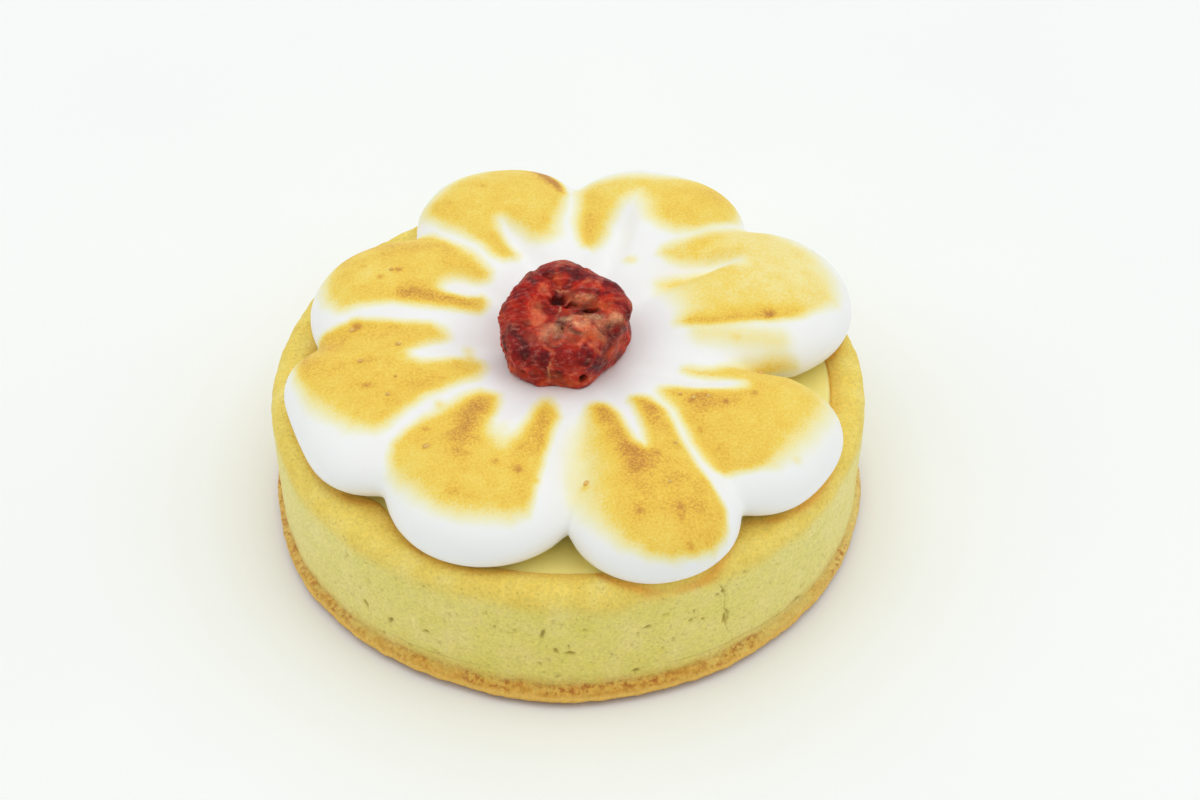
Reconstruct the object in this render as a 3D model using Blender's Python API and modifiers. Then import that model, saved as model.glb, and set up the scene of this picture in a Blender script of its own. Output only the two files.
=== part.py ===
"""A lemon curd tart: a shortcrust ring tart filled with lemon curd, under an eight-petalled flower of
torched meringue with one piece of candied red fruit in its middle. Metres, +Z up, origin on the table
below the middle of the tart. The front of the tart faces -Y."""

import math

import bmesh
import bpy
import numpy as np

MM = 0.001

# Crust: a straight tart ring 80 mm wide and 20 mm high shapes the wall, and a pastry disc is its floor.
RIM_HEIGHT = 20.0 * MM
WALL_RADIUS_LOW = 39.8 * MM
WALL_RADIUS_HIGH = 40.5 * MM
WALL_THICKNESS = 4.4 * MM
RIM_CREST_DROP = 2.0 * MM  # from the outer edge of the rim in to its crest
RIM_INNER_DROP = 1.5 * MM  # how much lower than the crest the inner edge lies
RIM_ROUNDING = 2.1 * MM
RIM_INNER_ROUNDING = 1.3 * MM
FLOOR_THICKNESS = 4.0 * MM
FLOOR_FILLET = 2.0 * MM
FOOT_RADIUS = 41.0 * MM
FOOT_HEIGHT = 3.2 * MM
FOOT_ROUNDING = 0.9 * MM
FOOT_PUSHED_FORWARD = 0.35 * MM  # the disc under the ring was laid a little off centre
# Waves round the crust, each with how many there are, their height in mm and their phase in radians.
OUTLINE_WAVES = ((2, 0.16, 0.7), (5, 0.10, 2.1))
FOOT_WAVES = ((11, 0.14, 0.4), (19, 0.12, 1.9), (31, 0.10, 5.0))
RIM_WAVES = ((3, 0.14, 1.0), (7, 0.10, 4.0))
CRUST_STEPS = 96

# Curd: poured to just under the inner edge of the rim, and a little higher where it clings to the wall.
CURD_LEVEL = 18.2 * MM
CURD_MENISCUS = 0.35 * MM
CURD_MENISCUS_WIDTH = 2.5 * MM
CURD_SIDE_GAP = 0.6 * MM  # to the wall, which is slightly uneven
CURD_STEPS = 64

# Meringue: eight blobs, each dragged in towards the middle, which leaves a groove between two ridges.
MERINGUE_MIDDLE = 23.2 * MM  # height at which a petal is widest
PETAL_RISE = 5.9 * MM  # from there up to the back of the petal
PETAL_FALL = 5.3 * MM  # and down to where it would end under the curd
PETAL_ROUNDNESS = 2.1
PETAL_WAIST = 0.26  # width at the middle of the flower, as a share of the full width
PETAL_BLEND_LENGTH = 6.0 * MM
HUB_RADIUS = 15.0 * MM
HUB_RISE = 2.9 * MM
SEAT_LEVEL = 26.6 * MM  # the top of the hub under the fruit
SEAT_RADIUS = 8.0 * MM
SEAT_CURVATURE = 120.0  # how fast the seat curves up outside that radius, per metre
SEAT_FILLET = 0.25 * MM
GROOVE_DEPTH = 2.4 * MM
GROOVE_WIDTH_OUTER = 1.5 * MM
GROOVE_WIDTH_INNER = 3.4 * MM
GROOVE_FADE = 7.0 * MM
CREASE_FILLET_OUTER = 0.35 * MM
CREASE_FILLET_INNER = 1.0 * MM
BEND_START = 12.0 * MM
BEND_END = 34.0 * MM
LONGEST_REACH = 45.0 * MM
THICKEST = 14.0 * MM
EDGE_ROUNDING = 5.2 * MM  # how far inside the edge of the flower its side starts to turn down
BACK_SHARE = 0.62  # of the way from the top to the underside, the part that runs over the back
SIDE_SHARE = 0.24  # and the part that runs round the side
HALVINGS = 24
MERINGUE_STEPS = 144
MERINGUE_RINGS = 28

# One row for each petal, from the right-hand back one on, anticlockwise seen from above: its direction at
# the tip and at the middle (degrees from +X), reach and half width (mm), how square its tip is (2 is a half
# circle), its groove's direction at the middle and at its end (degrees), and where the groove ends (mm from
# the middle of the flower).
PETALS = (
    (25.5, 21.0, 41.7, 14.0, 2.1, 55.0, 36.0, 32.0),
    (66.5, 73.0, 41.4, 13.3, 2.4, 72.0, 73.5, 31.0),
    (108.0, 107.0, 40.9, 12.6, 2.1, 105.0, 111.0, 28.0),
    (155.0, 144.0, 38.0, 14.0, 2.0, 130.0, 143.0, 24.0),
    (200.5, 190.0, 38.7, 14.2, 3.2, 178.0, 184.5, 22.0),
    (245.0, 245.0, 39.1, 13.1, 2.0, 237.0, 240.0, 20.0),
    (291.3, 299.0, 41.5, 11.4, 2.1, 305.0, 297.0, 23.0),
    (328.5, 328.0, 40.1, 12.1, 2.4, 329.0, 341.0, 25.0),
)

# Red fruit: a thick, flattened, wrinkled piece that leans a little to the front.
FRUIT_MIDDLE = (-0.5 * MM, 0.1 * MM)
FRUIT_WIDTH = 17.6 * MM
FRUIT_DEPTH = 18.0 * MM
FRUIT_THICKNESS = 8.4 * MM
FRUIT_SQUARENESS = 4.0
FRUIT_TILT = math.radians(8.0)
FRUIT_LUMPS = 0.55 * MM
FRUIT_LUMP_WAVES = ((2.2, 0.5), (3.4, 0.45), (5.5, 0.35), (8.0, 0.25))  # waves per half width, and weight
# Waves of its outline seen from above: how many round it, how high as a share, and where one peaks (degrees).
FRUIT_OUTLINE = (
    (1, 0.025, -125.0),
    (2, 0.022, 76.0),
    (3, 0.030, -12.0),
    (4, 0.030, 16.0),
    (5, 0.030, -138.0),
    (6, 0.018, -10.0),
    (8, 0.016, 2.0),
)
FRUIT_STEPS = 48
FRUIT_RINGS = 22

TOUCH_GAP = 0.3 * MM  # kept between two pieces that touch
SEED = 7

PASTRY_COLOUR = (0.72, 0.60, 0.23)
CURD_COLOUR = (0.83, 0.74, 0.20)
MERINGUE_COLOUR = (0.90, 0.90, 0.88)
FRUIT_COLOUR = (0.30, 0.02, 0.01)


def smooth_step(value, start, end):
    """0 before start, 1 after end, and a smooth S-curve between them."""
    t = np.clip((value - start) / (end - start), 0.0, 1.0)
    return t * t * (3.0 - 2.0 * t)


def wrapped(angle):
    """An angle brought into the range from -pi to pi."""
    return (angle + math.pi) % (2.0 * math.pi) - math.pi


def arc(centre, radius, start, end, steps):
    """Points (r, z) along a round corner, from one angle to another in degrees."""
    angles = np.radians(np.linspace(start, end, steps))
    return [(centre[0] + radius * math.cos(a), centre[1] + radius * math.sin(a)) for a in angles]


def crust_profile():
    """The section of the crust from the axis over the floor, up and over the rim, down the wall to the
    foot and back to the axis underneath, as (r, z)."""
    inner = WALL_RADIUS_LOW - WALL_THICKNESS
    inner_edge_z = RIM_HEIGHT - RIM_INNER_DROP
    fillet_centre = (inner - FLOOR_FILLET, FLOOR_THICKNESS + FLOOR_FILLET)
    inner_corner = (inner + RIM_INNER_ROUNDING, inner_edge_z - RIM_INNER_ROUNDING)
    crest_radius = WALL_RADIUS_HIGH - RIM_CREST_DROP
    outer_corner = (WALL_RADIUS_HIGH - RIM_ROUNDING, RIM_HEIGHT - RIM_ROUNDING)
    foot_corner = (FOOT_RADIUS - FOOT_ROUNDING, FOOT_ROUNDING)
    points = [(0.0, FLOOR_THICKNESS), (inner * 0.5, FLOOR_THICKNESS)]
    points += arc(fillet_centre, FLOOR_FILLET, -90.0, 0.0, 3)
    points += arc(inner_corner, RIM_INNER_ROUNDING, 180.0, 115.0, 3)
    points += [(r, float(rim_height(r))) for r in np.linspace(inner + RIM_INNER_ROUNDING, crest_radius, 3)]
    points += arc(outer_corner, RIM_ROUNDING, 75.0, 0.0, 5)
    points += [(np.interp(z, (FOOT_HEIGHT, RIM_HEIGHT), (WALL_RADIUS_LOW, WALL_RADIUS_HIGH)), z)
               for z in np.linspace(0.7 * RIM_HEIGHT, FOOT_HEIGHT, 4)]
    points += arc(foot_corner, FOOT_ROUNDING, 65.0, -90.0, 5)
    points += [(FOOT_RADIUS * 0.5, 0.0), (0.0, 0.0)]
    return points


def rim_height(radius):
    """The height of the rim's upper side at each radius, and 0 inside the wall."""
    crest = WALL_RADIUS_HIGH - RIM_CREST_DROP
    inner = WALL_RADIUS_LOW - WALL_THICKNESS
    inside = RIM_HEIGHT - RIM_INNER_DROP * ((crest - radius) / (crest - inner)) ** 2
    return np.where(radius < inner, 0.0, np.where(radius < crest, inside, RIM_HEIGHT))


def curd_height(radius):
    """The level of the curd, which climbs a little where it meets the wall."""
    wall = WALL_RADIUS_LOW - WALL_THICKNESS
    return CURD_LEVEL + CURD_MENISCUS * np.exp(-((wall - radius) / CURD_MENISCUS_WIDTH) ** 2)


def petal_field(x, y, z, petal):
    """How deep a point lies inside one petal, about in metres. Seen from above the petal is a drop with a
    round tip, and each of its sections is a superellipse. The groove lowers its back along a line."""
    tip, root, reach, half_width, square, groove_root, groove_tip, groove_end = petal
    reach, half_width, groove_end = reach * MM, half_width * MM, groove_end * MM
    radius = np.hypot(x, y)
    azimuth = np.arctan2(y, x)
    outward = smooth_step(radius, BEND_START, BEND_END)
    off_axis = wrapped(azimuth - np.radians(root + (tip - root) * outward))
    along, across = radius * np.cos(off_axis), radius * np.sin(off_axis)
    tip_centre = reach - half_width
    share = PETAL_WAIST + (1.0 - PETAL_WAIST) * np.clip(along / tip_centre, 0.0, 1.0)
    past = np.maximum(along - tip_centre, 0.0) + np.minimum(along, 0.0)
    plan = (np.abs(across) ** square + np.abs(past) ** square) ** (1.0 / square) / (half_width * share)
    off_groove = radius * np.sin(wrapped(azimuth - np.radians(
        groove_root + (groove_tip - groove_root) * np.clip(radius / groove_end, 0.0, 1.0))))
    groove_width = np.interp(radius, (0.0, groove_end), (GROOVE_WIDTH_INNER, GROOVE_WIDTH_OUTER))
    groove = GROOVE_DEPTH * np.exp(-((off_groove / groove_width) ** 2))
    groove *= 1.0 - smooth_step(radius, groove_end - GROOVE_FADE, groove_end)
    lifted = z + groove * smooth_step(z, MERINGUE_MIDDLE, MERINGUE_MIDDLE + 0.4 * PETAL_RISE)
    height = lifted - MERINGUE_MIDDLE
    section = np.where(height > 0.0, height / PETAL_RISE, -height / PETAL_FALL)
    return PETAL_BLEND_LENGTH * (1.0 - (plan**PETAL_ROUNDNESS + section**PETAL_ROUNDNESS)
                                 ** (1.0 / PETAL_ROUNDNESS))


def hub_field(x, y, z):
    """How deep a point lies inside the low round middle of the flower, about in metres."""
    height = z - MERINGUE_MIDDLE
    section = np.where(height > 0.0, height / HUB_RISE, -height / PETAL_FALL)
    plan = np.hypot(x, y) / HUB_RADIUS
    return PETAL_BLEND_LENGTH * (1.0 - (plan**4 + section**4) ** 0.25)


def meringue_field(x, y, z):
    """Petals and hub run together: a soft maximum, whose fillet is wider towards the middle."""
    fillet = np.interp(np.hypot(x, y), (8.0 * MM, 30.0 * MM), (CREASE_FILLET_INNER, CREASE_FILLET_OUTER))
    depths = np.stack([petal_field(x, y, z, petal) for petal in PETALS] + [hub_field(x, y, z)])
    highest = depths.max(axis=0)
    return highest + fillet * np.log(np.exp((depths - highest) / fillet).sum(axis=0))


def reach_along(start, direction, longest):
    """How far the meringue goes from each start point along its direction, by halving the interval."""
    low = np.zeros(start.shape[1])
    high = np.full(start.shape[1], longest)
    for _ in range(HALVINGS):
        middle = (low + high) / 2.0
        inside = meringue_field(*(start + middle * direction)) > 0.0
        low = np.where(inside, middle, low)
        high = np.where(inside, high, middle)
    return (low + high) / 2.0


def meringue_surface(azimuth, path):
    """The point of the surface for an azimuth and a path parameter, which runs from 0 on top, out over
    the back of the petals, round their side and in below to 1. Rays leave a level disc inside the
    meringue: upwards over the disc, fanning out round its edge, and downwards under it."""
    flat = np.stack([np.cos(azimuth), np.sin(azimuth), np.zeros_like(azimuth)])
    level = np.zeros_like(flat)
    level[2] = MERINGUE_MIDDLE
    disc_radius = reach_along(level, flat, LONGEST_REACH) - EDGE_ROUNDING
    below = (1.0 - path) / (1.0 - BACK_SHARE - SIDE_SHARE)
    share = np.clip(np.where(path < BACK_SHARE, path / BACK_SHARE, below), 0.0, 1.0)
    turn = np.pi / 2 - np.pi * np.clip((path - BACK_SHARE) / SIDE_SHARE, 0.0, 1.0)
    start = level + flat * disc_radius * share
    direction = flat * np.cos(turn)
    direction[2] = np.sin(turn)
    point = start + direction * reach_along(start, direction, THICKEST)
    from_fruit = np.hypot(point[0] - FRUIT_MIDDLE[0], point[1] - FRUIT_MIDDLE[1])
    seat = SEAT_LEVEL + SEAT_CURVATURE * np.maximum(from_fruit - SEAT_RADIUS, 0.0) ** 2
    point[2] = seat - SEAT_FILLET * np.logaddexp(0.0, (seat - point[2]) / SEAT_FILLET)
    radius = np.hypot(point[0], point[1])
    support = np.maximum(rim_height(radius), curd_height(radius)) + TOUCH_GAP
    point[2] = np.maximum(point[2], support)
    return point


def fruit_lumps(point):
    """Lumps and wrinkles over the fruit, about from -1 to 1: folded waves in several directions, drawn
    with a seed, at a point given in half widths of the fruit."""
    draw = np.random.default_rng(SEED)
    total = np.zeros(point.shape[1])
    for frequency, weight in FRUIT_LUMP_WAVES:
        axes = draw.normal(size=(3, 3))
        axes *= frequency / np.linalg.norm(axes, axis=1, keepdims=True)
        phases = draw.uniform(0.0, 2.0 * np.pi, size=(3, 1))
        total += weight * (1.0 - 2.0 * np.abs(np.sin(axes @ point + phases)).mean(axis=0))
    return total


def fruit_surface(direction):
    """The fruit's surface in each direction from its middle: a flattened superellipsoid with lumps, tilted
    to the front, and flat where it rests on the meringue."""
    level_share = 2.0 * np.hypot(direction[0] / FRUIT_WIDTH, direction[1] / FRUIT_DEPTH)
    upright_share = np.abs(direction[2]) / (FRUIT_THICKNESS / 2.0)
    azimuth = np.arctan2(direction[1], direction[0])
    outline = 1.0 + sum(share * np.cos(count * (azimuth - math.radians(peak)))
                        for count, share, peak in FRUIT_OUTLINE)
    radius = ((level_share / outline) ** FRUIT_SQUARENESS
              + upright_share**FRUIT_SQUARENESS) ** (-1.0 / FRUIT_SQUARENESS)
    lumps = fruit_lumps(direction * radius / (FRUIT_WIDTH / 2.0))
    point = direction * (radius + FRUIT_LUMPS * lumps)
    x, y, z = point
    tilted = np.stack([x, y * math.cos(FRUIT_TILT) - z * math.sin(FRUIT_TILT),
                       y * math.sin(FRUIT_TILT) + z * math.cos(FRUIT_TILT)])
    tilted[0] += FRUIT_MIDDLE[0]
    tilted[1] += FRUIT_MIDDLE[1]
    tilted[2] += SEAT_LEVEL + FRUIT_THICKNESS / 2.0
    tilted[2] = np.maximum(tilted[2], SEAT_LEVEL + TOUCH_GAP)
    return tilted


def material(name, colour, roughness):
    """A Principled material of one colour."""
    made = bpy.data.materials.new(name)
    made.use_nodes = True
    shader = made.node_tree.nodes["Principled BSDF"]
    shader.inputs["Base Color"].default_value = (*colour, 1.0)
    shader.inputs["Roughness"].default_value = roughness
    shader.inputs["Metallic"].default_value = 0.0
    return made


def add_object(name, mesh, collection, surface):
    """An object of this mesh, smooth but for its sharp edges, in the collection."""
    mesh.materials.clear()
    mesh.materials.append(surface)
    mesh.shade_smooth()
    mesh.set_sharp_from_angle(angle=math.radians(50.0))
    made = bpy.data.objects.new(name, mesh)
    collection.objects.link(made)
    return made


def turned(name, profile, steps, collection, surface, shape=None):
    """A profile (r, z) turned round the Z axis by a Screw modifier. With a shape function, the turned
    mesh is made real and its points are moved by that function."""
    mesh = bpy.data.meshes.new(name)
    edges = [(i, i + 1) for i in range(len(profile) - 1)]
    mesh.from_pydata([(r, 0.0, z) for r, z in profile], edges, [])
    made = bpy.data.objects.new(name, mesh)
    collection.objects.link(made)
    screw = made.modifiers.new("Turn", "SCREW")
    screw.axis = "Z"
    screw.steps = steps
    screw.render_steps = steps
    screw.use_merge_vertices = True
    screw.merge_threshold = 0.00001
    depsgraph = bpy.context.evaluated_depsgraph_get()
    real = bpy.data.meshes.new_from_object(made.evaluated_get(depsgraph))
    real.name = name
    bpy.data.objects.remove(made)
    if shape:
        moved_by(real, shape)
    return add_object(name, real, collection, surface)


def moved_by(mesh, shape):
    """Moves the points of a mesh: shape takes their coordinates as a 3 by n array and returns new ones."""
    points = np.empty(len(mesh.vertices) * 3)
    mesh.vertices.foreach_get("co", points)
    points = shape(points.reshape(-1, 3).T).T
    mesh.vertices.foreach_set("co", np.ascontiguousarray(points).ravel())
    mesh.update()


def ball(name, steps, rings, collection, surface, shape):
    """A UV sphere whose points are moved to a closed surface by the shape function."""
    mesh = bpy.data.meshes.new(name)
    cage = bmesh.new()
    bmesh.ops.create_uvsphere(cage, u_segments=steps, v_segments=rings, radius=1.0)
    cage.to_mesh(mesh)
    cage.free()
    moved_by(mesh, shape)
    return add_object(name, mesh, collection, surface)


def meringue_from_ball(directions):
    """Spreads the points of a unit ball over the meringue: their azimuth stays, and the angle down from
    the top becomes the path parameter."""
    azimuth = np.arctan2(directions[1], directions[0])
    path = np.arccos(np.clip(directions[2], -1.0, 1.0)) / np.pi
    return meringue_surface(azimuth, path)


def waves(azimuth, rows):
    """The sum of waves round the Z axis, in metres: each row is (how many, height in mm, phase)."""
    return MM * sum(height * np.sin(count * azimuth + phase) for count, height, phase in rows)


def uneven_crust(points):
    """The hand-made look of the pastry: the rim is slightly wavy and the foot's edge is rough. The floor
    and the inner wall keep their place."""
    x, y, z = points
    azimuth = np.arctan2(y, x)
    radius = np.maximum(np.hypot(x, y), MM)
    inner = WALL_RADIUS_LOW - WALL_THICKNESS
    outer = smooth_step(radius, inner - 0.3 * WALL_THICKNESS, inner + 0.4 * WALL_THICKNESS)
    foot = 1.0 - smooth_step(z, 0.5 * FOOT_HEIGHT, 1.15 * FOOT_HEIGHT)
    push = 1.0 + outer * (waves(azimuth, OUTLINE_WAVES) + foot * waves(azimuth, FOOT_WAVES)) / radius
    lift = waves(azimuth, RIM_WAVES) * smooth_step(z, 0.6 * RIM_HEIGHT, RIM_HEIGHT)
    return np.stack([x * push, y * push - FOOT_PUSHED_FORWARD * outer * foot, z + lift])


def curd_profile():
    """The section of the curd, from the axis over its level top, down its side and back underneath."""
    side = WALL_RADIUS_LOW - WALL_THICKNESS - CURD_SIDE_GAP
    bottom = FLOOR_THICKNESS + TOUCH_GAP
    bevel = FLOOR_FILLET
    top = [(r, float(curd_height(r))) for r in np.linspace(0.0, 1.0, 6) ** 0.6 * side]
    corner = arc((side - bevel, bottom + bevel), bevel, 0.0, -90.0, 3)
    return top + corner + [(0.0, bottom)]


def main():
    for old in list(bpy.data.objects):
        bpy.data.objects.remove(old)
    tart = bpy.data.collections.new("lemon_curd_tart")
    bpy.context.scene.collection.children.link(tart)
    pastry = material("pastry", PASTRY_COLOUR, 0.75)
    curd = material("curd", CURD_COLOUR, 0.25)
    meringue = material("meringue", MERINGUE_COLOUR, 0.5)
    fruit = material("fruit", FRUIT_COLOUR, 0.35)
    turned("crust", crust_profile(), CRUST_STEPS, tart, pastry, uneven_crust)
    turned("lemon_curd", curd_profile(), CURD_STEPS, tart, curd)
    ball("meringue", MERINGUE_STEPS, MERINGUE_RINGS, tart, meringue, meringue_from_ball)
    ball("red_fruit", FRUIT_STEPS, FRUIT_RINGS, tart, fruit, fruit_surface)


main()
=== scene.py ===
# %% [markdown]
# # A lemon curd tart under a torched meringue flower
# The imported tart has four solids: the crust, the lemon curd, the meringue and the red fruit. They have the
# right form but few faces and one flat colour each. This lesson works out the same forms again on fine
# grids, adds the relief that a baker would see from close by, and gives each piece its finish. The frame is
# loaded first, so that every piece is made where its solid is.

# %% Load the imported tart
import itertools
import math
from collections import namedtuple

import bpy
import numpy as np
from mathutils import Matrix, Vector


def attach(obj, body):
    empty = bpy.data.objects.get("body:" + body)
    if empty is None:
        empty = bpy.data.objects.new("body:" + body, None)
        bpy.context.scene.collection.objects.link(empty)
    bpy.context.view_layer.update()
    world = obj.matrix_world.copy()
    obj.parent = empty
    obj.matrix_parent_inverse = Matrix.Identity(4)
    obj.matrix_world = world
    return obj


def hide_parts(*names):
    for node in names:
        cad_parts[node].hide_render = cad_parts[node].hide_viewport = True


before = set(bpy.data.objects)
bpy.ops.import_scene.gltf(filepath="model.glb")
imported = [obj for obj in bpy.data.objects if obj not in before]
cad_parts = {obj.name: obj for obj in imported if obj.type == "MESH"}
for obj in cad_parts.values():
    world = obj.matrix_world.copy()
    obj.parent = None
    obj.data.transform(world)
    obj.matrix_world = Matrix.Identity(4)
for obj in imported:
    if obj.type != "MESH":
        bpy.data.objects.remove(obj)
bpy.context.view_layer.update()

MM = 0.001  # the frame is in metres, and the shapes below are worked out in millimetres


def in_scene(name, data):
    """A new object with this data, put in the scene."""
    made = bpy.data.objects.new(name, data)
    bpy.context.scene.collection.objects.link(made)
    return made


# %% [markdown]
# ## The camera
# The tart was photographed from half a metre away, looking down at 45 degrees with a long lens. A camera
# that points at the middle of the tart would put it in the middle of the picture, but in the photograph it
# stands a little to the left and low. Moving the camera would change which sides are seen, so it stays where
# it is and only turns, until the tart's foot is at its pixel.

# %% Place the camera
PICTURE_WIDTH = 1200
PICTURE_HEIGHT = 800
SENSOR_WIDTH = 36.0
LENS = 106.68
CAMERA_DISTANCE = 500.0
CAMERA_ELEVATION = math.radians(45.1)
FOOT_PIXEL = (568.7, 486.4)  # where the middle of the tart's underside is seen

camera_data = bpy.data.cameras.new("camera")
camera_data.sensor_width = SENSOR_WIDTH
camera_data.lens = LENS
camera_data.clip_start = 0.01
camera = in_scene("camera", camera_data)
direction = Vector((0.0, -math.cos(CAMERA_ELEVATION), math.sin(CAMERA_ELEVATION)))
camera.location = direction * CAMERA_DISTANCE * MM
focal_pixels = LENS / SENSOR_WIDTH * PICTURE_WIDTH
foot_ray = Vector((
    (FOOT_PIXEL[0] - PICTURE_WIDTH / 2) / focal_pixels,
    (PICTURE_HEIGHT / 2 - FOOT_PIXEL[1]) / focal_pixels,
    -1.0,
))
centred = direction.to_track_quat("Z", "Y")
aside = Vector((0.0, 0.0, -1.0)).rotation_difference(foot_ray)
camera.rotation_mode = "QUATERNION"
camera.rotation_quaternion = centred @ aside.inverted()
bpy.context.scene.camera = camera
print("Camera at", [round(v, 4) for v in camera.location])

# %% [markdown]
# ## Helpers for shapes
# Every piece of this tart is a closed skin round a vertical axis. So each one can be a grid: rows that run
# from a pole on top to a pole underneath, and columns that run round the axis. A function gives the point of
# each row and column, and one helper joins the points into a mesh. Smooth random relief comes from value
# noise, which is repeatable: the same place always gets the same bump.

# %% Curves and noise


def smooth_step(value, start, end):
    """0 before start, 1 after end, and the S-curve 3t^2 - 2t^3 between them."""
    t = np.clip((value - start) / (end - start), 0.0, 1.0)
    return t * t * (3.0 - 2.0 * t)


def band(value, start, full, fading, end):
    """1 between full and fading, 0 before start and after end, and S-curves between them."""
    return smooth_step(value, start, full) * (1.0 - smooth_step(value, fading, end))


def bell(distance, half_width):
    """A bell that is 1 high: exp(-(distance / half width)^2)."""
    return np.exp(-((distance / half_width) ** 2))


def superellipse(across, along, power):
    """How far out a point lies, by superellipses of this power: (a^p + b^p)^(1/p) for a and b from 0 up."""
    return (across**power + along**power) ** (1.0 / power)


def wrapped(angle):
    """An angle brought into the range from -pi to pi."""
    return (angle + math.pi) % (2.0 * math.pi) - math.pi


def lattice_value(cell, seed):
    """A repeatable number from 0 to 1 for each whole-numbered point (3, ...): its coordinates and the seed
    are multiplied by large odd numbers, mixed bit by bit, and the lowest 16 bits are kept."""
    mixed = (cell[0] * 73856093) ^ (cell[1] * 19349663) ^ (cell[2] * 83492791) ^ (seed * 26544357)
    mixed = (mixed ^ (mixed >> 13)) * 1274126177
    mixed = mixed ^ (mixed >> 16)
    return (mixed & 0xFFFF) / 0xFFFF


def noise(points, wavelength, seed):
    """Smooth noise from -1 to 1 at points (3, ...) in mm: random values on a lattice one wavelength apart,
    blended between the eight corners of each cell with S-curve weights."""
    grid = points / wavelength
    corner = np.floor(grid).astype(np.int64)
    part = grid - corner
    weight = part * part * (3.0 - 2.0 * part)
    total = np.zeros(points.shape[1:])
    for offset in itertools.product((0, 1), repeat=3):
        step = np.reshape(offset, (3,) + (1,) * (points.ndim - 1))
        share = np.where(step == 1, weight, 1.0 - weight).prod(axis=0)
        total += share * lattice_value(corner + step, seed)
    return 2.0 * total - 1.0


def layered_noise(points, layers):
    """The sum of several noises. Each layer is its height and its wavelength in mm, and its seed."""
    return sum(height * noise(points, wavelength, seed) for height, wavelength, seed in layers)


# %% Grids into meshes


def round_grid(columns, *row_values):
    """Grids (rows, columns) round the axis: the azimuth of each column, then each list of row values."""
    around = np.linspace(0.0, 2.0 * np.pi, columns, endpoint=False)
    grids = [np.meshgrid(around, values) for values in row_values]
    return [grids[0][0]] + [spread for _, spread in grids]


def outward(points):
    """The unit normal at each point of a grid (3, rows, columns): the step down the rows crossed with the
    step along the columns. At the two poles it is straight up and straight down."""
    down = np.gradient(points, axis=1)
    along = np.roll(points, -1, axis=2) - np.roll(points, 1, axis=2)
    normal = np.cross(down, along, axis=0)
    normal /= np.maximum(np.linalg.norm(normal, axis=0), 1e-9)
    normal[:, 0] = [[0.0], [0.0], [1.0]]
    normal[:, -1] = [[0.0], [0.0], [-1.0]]
    return normal


def poles_and_rings(grid):
    """The values of a grid (..., rows, columns) in the order of the mesh's points: the top pole, the rings
    between the poles one after another, and the bottom pole."""
    rings = grid[..., 1:-1, :].reshape(*grid.shape[:-2], -1)
    return np.concatenate([grid[..., 0, :1], rings, grid[..., -1, :1]], axis=-1)


def ball_faces(rows, columns):
    """The faces of a grid from pole to pole, by the numbers of their points: four-sided ones between the
    rings, and a fan of triangles at each pole."""
    ring = np.arange(columns)
    following = (ring + 1) % columns
    start = 1 + columns * np.arange(rows - 2)
    upper = start[:-1, None]
    lower = start[1:, None]
    quads = np.stack([upper + ring, lower + ring, lower + following, upper + following], axis=-1)
    top_fan = np.stack([np.zeros_like(ring), start[0] + ring, start[0] + following], axis=-1)
    last = np.full_like(ring, start[-1] + columns)
    bottom_fan = np.stack([start[-1] + ring, last, start[-1] + following], axis=-1)
    return quads.reshape(-1, 4), np.concatenate([top_fan, bottom_fan])


def closed_surface(name, points, **attributes):
    """A closed mesh object from a grid of points (3, rows, columns) in mm. Each attribute has one number
    for each grid point."""
    quads, fans = ball_faces(*points.shape[1:])
    mesh = bpy.data.meshes.new(name)
    mesh.from_pydata((poles_and_rings(points).T * MM).tolist(), [], quads.tolist() + fans.tolist())
    for label, values in attributes.items():
        data = mesh.attributes.new(label, "FLOAT", "POINT").data
        data.foreach_set("value", poles_and_rings(values).astype(np.float32))
    return shown(name, mesh)


def shown(name, mesh):
    """An object of this mesh, shaded smooth, that rides on the tart."""
    mesh.shade_smooth()
    made = in_scene(name, mesh)
    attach(made, "root")
    print(f"{name}: {sum(len(face.vertices) - 2 for face in mesh.polygons)} triangles")
    return made


# %% [markdown]
# ## Helpers for finishes
# Colours are written as they would be picked on a screen, in sRGB, and one function turns them to the linear
# values that Blender's shaders use. One more function adds a node, sets what is constant and links the rest.
# A new material starts with the place of each point on its object, which all its patterns follow. A MapRange
# node gets a value, the range that it is taken from and the range that it is brought to.

# %% Colours and nodes


def linear(colour):
    """A colour given as sRGB hex, as linear red, green, blue and alpha."""
    values = np.array([int(colour[i:i + 2], 16) for i in (0, 2, 4)]) / 255.0
    values = np.where(values <= 0.04045, values / 12.92, ((values + 0.055) / 1.055) ** 2.4)
    return (*values.tolist(), 1.0)


def add_node(tree, kind, inputs=(), stops=(), **settings):
    """Adds a node. Its inputs are given by name or number, or in the order of its sockets. A node or one of
    its outputs is linked, where a node stands for its first output. A hex colour is turned to linear, and
    any other value is set. The stops of a colour ramp are pairs of a position and a hex colour."""
    made = tree.nodes.new("ShaderNode" + kind)
    for label, value in settings.items():
        setattr(made, label, value)
    for label, value in (inputs if isinstance(inputs, dict) else dict(enumerate(inputs))).items():
        if isinstance(value, bpy.types.Node):
            value = value.outputs[0]
        if isinstance(value, bpy.types.NodeSocket):
            tree.links.new(value, made.inputs[label])
        else:
            made.inputs[label].default_value = linear(value) if isinstance(value, str) else value
    for index, (position, colour) in enumerate(stops):
        elements = made.color_ramp.elements
        element = elements[index] if index < len(elements) else elements.new(position)
        element.position = position
        element.color = linear(colour)
    return made


def new_material(name):
    """A material, its node tree, and the place on the object, which is the tree's only output so far."""
    material = bpy.data.materials.new(name)
    material.use_nodes = True
    material.node_tree.nodes.clear()
    return material, material.node_tree, add_node(material.node_tree, "TexCoord").outputs["Object"]


def per_metre(size):
    """The scale of a noise or Voronoi texture whose pattern repeats about every so many mm."""
    return 1.0 / (size * MM)


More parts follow.
